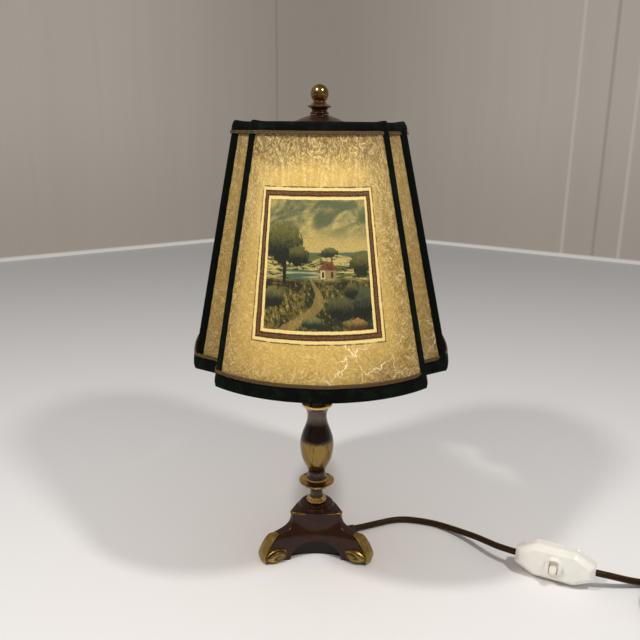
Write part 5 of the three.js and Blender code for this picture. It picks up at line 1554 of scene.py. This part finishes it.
# Height, reach of the legs, half width of the legs' ends, depth of the hollow sides
CASTING = [
    (0, 49.4, 5.0, 21.5), (1.6, 50.4, 5.3, 21.3), (4.1, 51.0, 5.6, 21.0), (7.4, 50.8, 5.8, 20.6),
    (11.5, 49.6, 5.8, 20.1), (15.8, 47.4, 5.6, 19.5), (18.4, 45.8, 5.4, 19.2), (20.5, 44.0, 5.2, 18.9),
    (22.0, 42.2, 5.0, 18.5), (23.3, 38.6, 4.8, 17.9), (24.6, 34.0, 4.6, 17.5), (26.2, 30.2, 4.3, 17.1),
    (29, 26.9, 3.6, 16.8), (32.8, 25.2, 2.9, 16.65), (36.6, 24.7, 2.5, 16.6), (38.2, 25.0, 2.2, 16.5),
    (39.2, 25.6, 2.1, 16.35), (40.3, 25.65, 2.0, 16.3), (40.9, 25.1, 1.9, 16.4), (41.0, 24.4, 1.8, 16.5),
]
casting_table = np.array(spline([vec(*row) for row in CASTING], 5))
casting_table[:, 0] = np.maximum.accumulate(casting_table[:, 0])
# Columns across a hollow side, and across the end of a leg
HOLLOW, END = 33, 9
# Heights of its top and of the hollow's ceiling, and the radius of the pocket in that
CASTING_TOP, CEILING, POCKET = 41.0, 30, 13
# Height and half width of the arch between two legs, and how high above the table the inner wall ends
ARCH_HIGH, ARCH_HALF, WALL_FOOT = 16, 22.5, 0.3
# Shares of the way from the arch to the shoulder at which the casting has a row
CASTING_ROWS = [
    0, 0.02, 0.06, 0.12, 0.19, 0.26, 0.33, 0.4, 0.46, 0.51, 0.56, 0.61,
    0.66, 0.72, 0.78, 0.84, 0.89, 0.925, 0.95, 0.965, 0.98, 0.993, 1.0,
]
# The rows that close the top: share of the shoulder's reach, and height
CASTING_CAP = [(0.97, 41.15), (0.85, 41.4), (0.6, 41.7), (0.02, 41.8)]
# The rows inside: distance in from the rim, share of the way to the pocket, and whether a wall drops down
CASTING_INSIDE = [
    (3.0, 0.0, False), (4.6, 0.0, False), (4.9, 0.0, True), (6.6, 0.0, True), (6.9, 0.02, False),
    (6.9, 0.3, False), (6.9, 0.6, False), (6.9, 0.85, False), (6.9, 1.0, False),
]


def casting_at(z):
    return [float(np.interp(z, casting_table[:, 0], casting_table[:, k])) for k in (1, 2, 3)]


def shares_across(count):
    return [-1 + 2 * i / (count - 1) for i in range(count)]


def casting_columns():
    """(leg, kind, share) of every upright line of the casting, in order round it."""
    made = []
    for leg in range(len(LEGS)):
        made += [(leg, "end", share) for share in shares_across(END)[1:-1]]
        made += [(leg, "side", share) for share in shares_across(HOLLOW)]
    return made


def casting_point(leg, kind, share, z):
    reach, half, face = casting_at(z)
    turn = LEGS[leg]
    out, across = direction(turn), direction(turn + math.pi / 2)
    if kind == "end":
        p = out * (reach + 0.1 * half * (1 - share * share)) + across * half * share
    else:
        normal, run = direction(turn + TURN / 6), direction(turn + TURN / 6 + math.pi / 2)
        corner = out * reach + across * half
        depth = face + (corner.dot(normal) - face) * share * share
        p = normal * depth + run * share * abs(corner.dot(run))
    return vec(p[0], p[1], z)


def arch_low(kind, share):
    """Height of the arch between two legs, where a column meets it."""
    z = 0.0
    for _ in range(0 if kind == "end" else 12):
        reach, half, _ = casting_at(z)
        across = abs(share) * (reach * math.sin(TURN / 6) - half * math.cos(TURN / 6))
        z = 0.5 * z + 0.5 * (ARCH_HIGH * math.sqrt(max(0.0, 1 - (across / ARCH_HALF) ** 2)))
    return z


def casting_shape():
    columns = casting_columns()
    lows = [arch_low(kind, share) for _, kind, share in columns]
    rows = []
    for share in CASTING_ROWS:
        rows.append([
            casting_point(*column, lerp(low, CASTING_TOP, share)) for column, low in zip(columns, lows)
        ])
    top = [[vec(p[0] * s, p[1] * s, z) for p in rows[-1]] for s, z in CASTING_CAP]
    rim = []
    for i in range(len(columns)):
        along = unit(rows[0][(i + 1) % len(columns)][:2] - rows[0][i - 1][:2])
        rim.append(vec(along[1], -along[0], 0))
    # Inside: a short ceiling, then a dark wall down to the table behind the front arch, which stands in for
    # the shadow under the casting, then the hollow
    walls = [kind == "side" and leg == 1 and low > 1 for (leg, kind, _), low in zip(columns, lows)]
    inner = []
    for depth_in, share, drops in CASTING_INSIDE:
        row = []
        for p, normal, low, wall in zip(rows[0], rim, lows, walls):
            angle = math.atan2(p[1], p[0])
            q = lerp(p - normal * depth_in, direction(angle) * POCKET, ease(share))
            high = WALL_FOOT if drops and wall else lerp(low, CEILING, share) + 0.02 * depth_in
            row.append(vec(q[0], q[1], high))
        inner.append(row)
    lip = [vec(*(p - n * 1.5)[:2], max(low - 0.35, 0.0)) for p, n, low in zip(rows[0], rim, lows)]
    closing = [vec(p[0] * 0.02, p[1] * 0.02, CEILING) for p in inner[-1]]
    return grid([closing, *inner[::-1], lip, *rows, *top])


def wear_of(points):
    """Where brass shows through the casting's lacquer: its shoulder's lip and the edges of its feet."""
    made = []
    for x, y, z in points:
        away = math.hypot(x, y)
        lip = math.exp(-((z - 40.5) / 0.6) ** 2) * ease((away - 16) / 5)
        leg = min(LEGS, key=lambda a: -math.cos(math.atan2(y, x) - a))
        along = x * math.cos(leg) + y * math.sin(leg)
        foot = ease((along - 47) / 4) * ease((21 - z) / 3)
        made.append(min(1.0, max(lip * 0.95, foot)))
    return made


def stored_gold(s, place):
    wear = s.stored("gold") + (s.noise(place, 0.7, 3) - 0.5) * 0.5
    return s.span(wear, 0.25, 0.75) * s.span(s.stored("gold"), 0.02, 0.2)


casting_lacquer = lacquer("casting_lacquer", stored_gold, (52, 28, 20), (60, 33, 23), 0.1, True)
casting = piece(
    "casting", casting_shape(), "root", casting_lacquer, ["base_casting"], 50,
)
paint(casting, "gold", wear_of(places(casting)))
# The casting's inner faces are painted darker, as the shade under it.
hidden = (len(CASTING_INSIDE) + 2) * len(casting_columns())
paint(casting, "shaded_inside", [1.0 if i < hidden else 0.0 for i in range(len(places(casting)))])

turned(
    "bell", [(BORE, 40.2), (16.4, 40.2), *beads(BELL), (BORE, 45.8)], "root",
    lacquer("bell_lacquer", patchy(0.5, 3, 0.5, 0.8, 0.35), (44, 26, 18), (70, 44, 28)),
    None, bore=0,
)

foot_gold = brass("foot_gold", (152, 126, 68), (172, 146, 84), 0.3, 0.1)


# A shield's levels: height, reach from the stem, half width
SHIELD = [
    (23.7, 42.4, 3.2), (23.3, 44.6, 4.4), (22.2, 46.6, 5.1), (20.2, 48.5, 5.6), (17.5, 50.4, 6.0),
    (14.5, 52.2, 6.3), (11.5, 53.8, 6.6), (8.5, 55.0, 6.8), (6.0, 55.6, 6.9), (4.0, 55.7, 6.8),
    (2.0, 55.3, 6.4), (0.7, 54.7, 5.9), (0.12, 54.2, 5.5),
]
# Share of the half width where its rim starts, and how far its ridge and its rim stand out
SHIELD_RIM, SHIELD_RIDGE, SHIELD_EDGE = 0.86, 1.3, 0.27
# How far in from its reach its edge and its back lie, and how many steps its half width has
SHIELD_IN, SHIELD_BACK, SHIELD_STEPS = 0.9, 3.5, 6


def leg_frame(leg):
    return direction(leg), direction(leg + math.pi / 2)


def shield_shape(leg):
    """The polished face of a foot: a faceted shield, narrow at the top, with a low ridge down it."""
    out, across = leg_frame(leg)
    rows = []
    for z, reach, half in SHIELD:
        row = []
        for k in range(2 * SHIELD_STEPS + 1):
            t = -1 + k / SHIELD_STEPS
            lift = SHIELD_RIDGE * (1 - abs(t)) ** 0.8
            if abs(t) >= SHIELD_RIM:
                lift = SHIELD_EDGE * (1 - abs(t)) / (1 - SHIELD_RIM)
            row.append(out * (reach - SHIELD_IN + lift) + across * half * t + vec(0, 0, z))
        row += [
            out * (reach - SHIELD_BACK) + across * half * SHIELD_RIM * t + vec(0, 0, z) for t in (1, 0, -1)
        ]
        rows.append(row)
    return grid(rows)


def scroll_skin():
    s = Shader("scroll_gold")
    place = s.place()
    gold = s.mix(s.span(s.noise(place, 0.22, 4, 0.6), 0.34, 0.66), (136, 110, 58), (176, 148, 84))
    dark = s.stored("patina")
    return s.finish(
        Base_Color=s.mix(dark, gold, (48, 32, 16)), Metallic=s.span(dark, 0.0, 1.0, 1.0, 0.4),
        Roughness=s.gloss(place, 0.6, 0.28, 0.42),
        Normal=s.bump(s.noise(place, 0.9, 2), 0.03, 0.2),
    )


SCROLL_REACH, SCROLL_HALF, SCROLL_TALL = 43.6, 11.4, 6.6
SCROLL_RINGS, SCROLL_SIDES = 24, 60
# How far its edge stands from the leg's middle plane, its swell, the groove's depth and the eye's rise
SCROLL_PROUD, SCROLL_SWELL, GROOVE_DEEP, EYE_HIGH = 7.3, 3.0, 0.5, 0.6
# The groove's turns, and the eye's width as a share of the way to the edge
GROOVE_TURNS, EYE_WIDE = 1.6, 0.13


def scroll_spot(share, angle):
    """A place on a scroll, from its eye at share 0 to its almond-shaped edge at share 1."""
    x, z = math.cos(angle), math.sin(angle)
    toe = max(x, 0.0)
    edge = vec(SCROLL_HALF * x, SCROLL_TALL * z * (1 - 0.42 * toe ** 1.6) - 1.1 * toe ** 2)
    return vec(-1.6, 0.2) * (1 - share) + edge * share


def scroll_shape(leg, side):
    """The rolled leaf with a spiral on one side of a foot: its shape, front points and their patina."""
    out, across = leg_frame(leg)

    def placed(p, proud):
        high = max(SCROLL_TALL - 0.1 + p[1], 0.06)
        return out * (SCROLL_REACH + p[0]) + vec(0, 0, high) + across * side * proud

    rows, patina = [], []
    for i in range(SCROLL_RINGS + 1):
        share = i / SCROLL_RINGS
        row = []
        for j in range(SCROLL_SIDES):
            p = scroll_spot(share, TURN * j / SCROLL_SIDES)
            swell = SCROLL_SWELL * (1 - (p[0] / (SCROLL_HALF + 0.4)) ** 2) * (1 - share ** 3)
            groove = 0.5 + 0.5 * math.cos(TURN * (share * GROOVE_TURNS + side * j / SCROLL_SIDES))
            relief = GROOVE_DEEP * groove * ease(share / 0.2) * ease((1 - share) / 0.12)
            relief += EYE_HIGH * math.exp(-(share / EYE_WIDE) ** 2)
            deep = ease((0.3 - groove) / 0.25) * ease((share - 0.16) / 0.08) * ease((0.97 - share) / 0.04)
            patina.append(max(deep, 0.7 * math.exp(-((share - 0.2) / 0.05) ** 2)))
            row.append(placed(p, SCROLL_PROUD + swell + relief - 0.9 * ease((share - 0.9) / 0.1)))
        rows.append(row)
    angles = [TURN * j / SCROLL_SIDES for j in range(SCROLL_SIDES)]
    back = [
        [placed(scroll_spot(share, angle), proud) for angle in angles]
        for share, proud in ((0.98, 5.6), (0.8, 3.0))
    ]
    return grid([*rows, *back]), np.array([p for row in rows for p in row]), np.array(patina)


scroll_gold = scroll_skin()
for name, leg in zip(("back", "front_left", "front_right"), LEGS):
    piece(f"foot_shield_{name}", shield_shape(leg), "root", foot_gold, (), 50)
    for side, word in ((1, "a"), (-1, "b")):
        shape, spots, patina = scroll_shape(leg, side)
        made = piece(f"foot_scroll_{name}_{word}", shape, "root", scroll_gold, (), 60)
        nearest = [int(np.argmin(np.sum((spots - p) ** 2, axis=1))) for p in places(made)]
        paint(made, "patina", [float(patina[k]) for k in nearest])
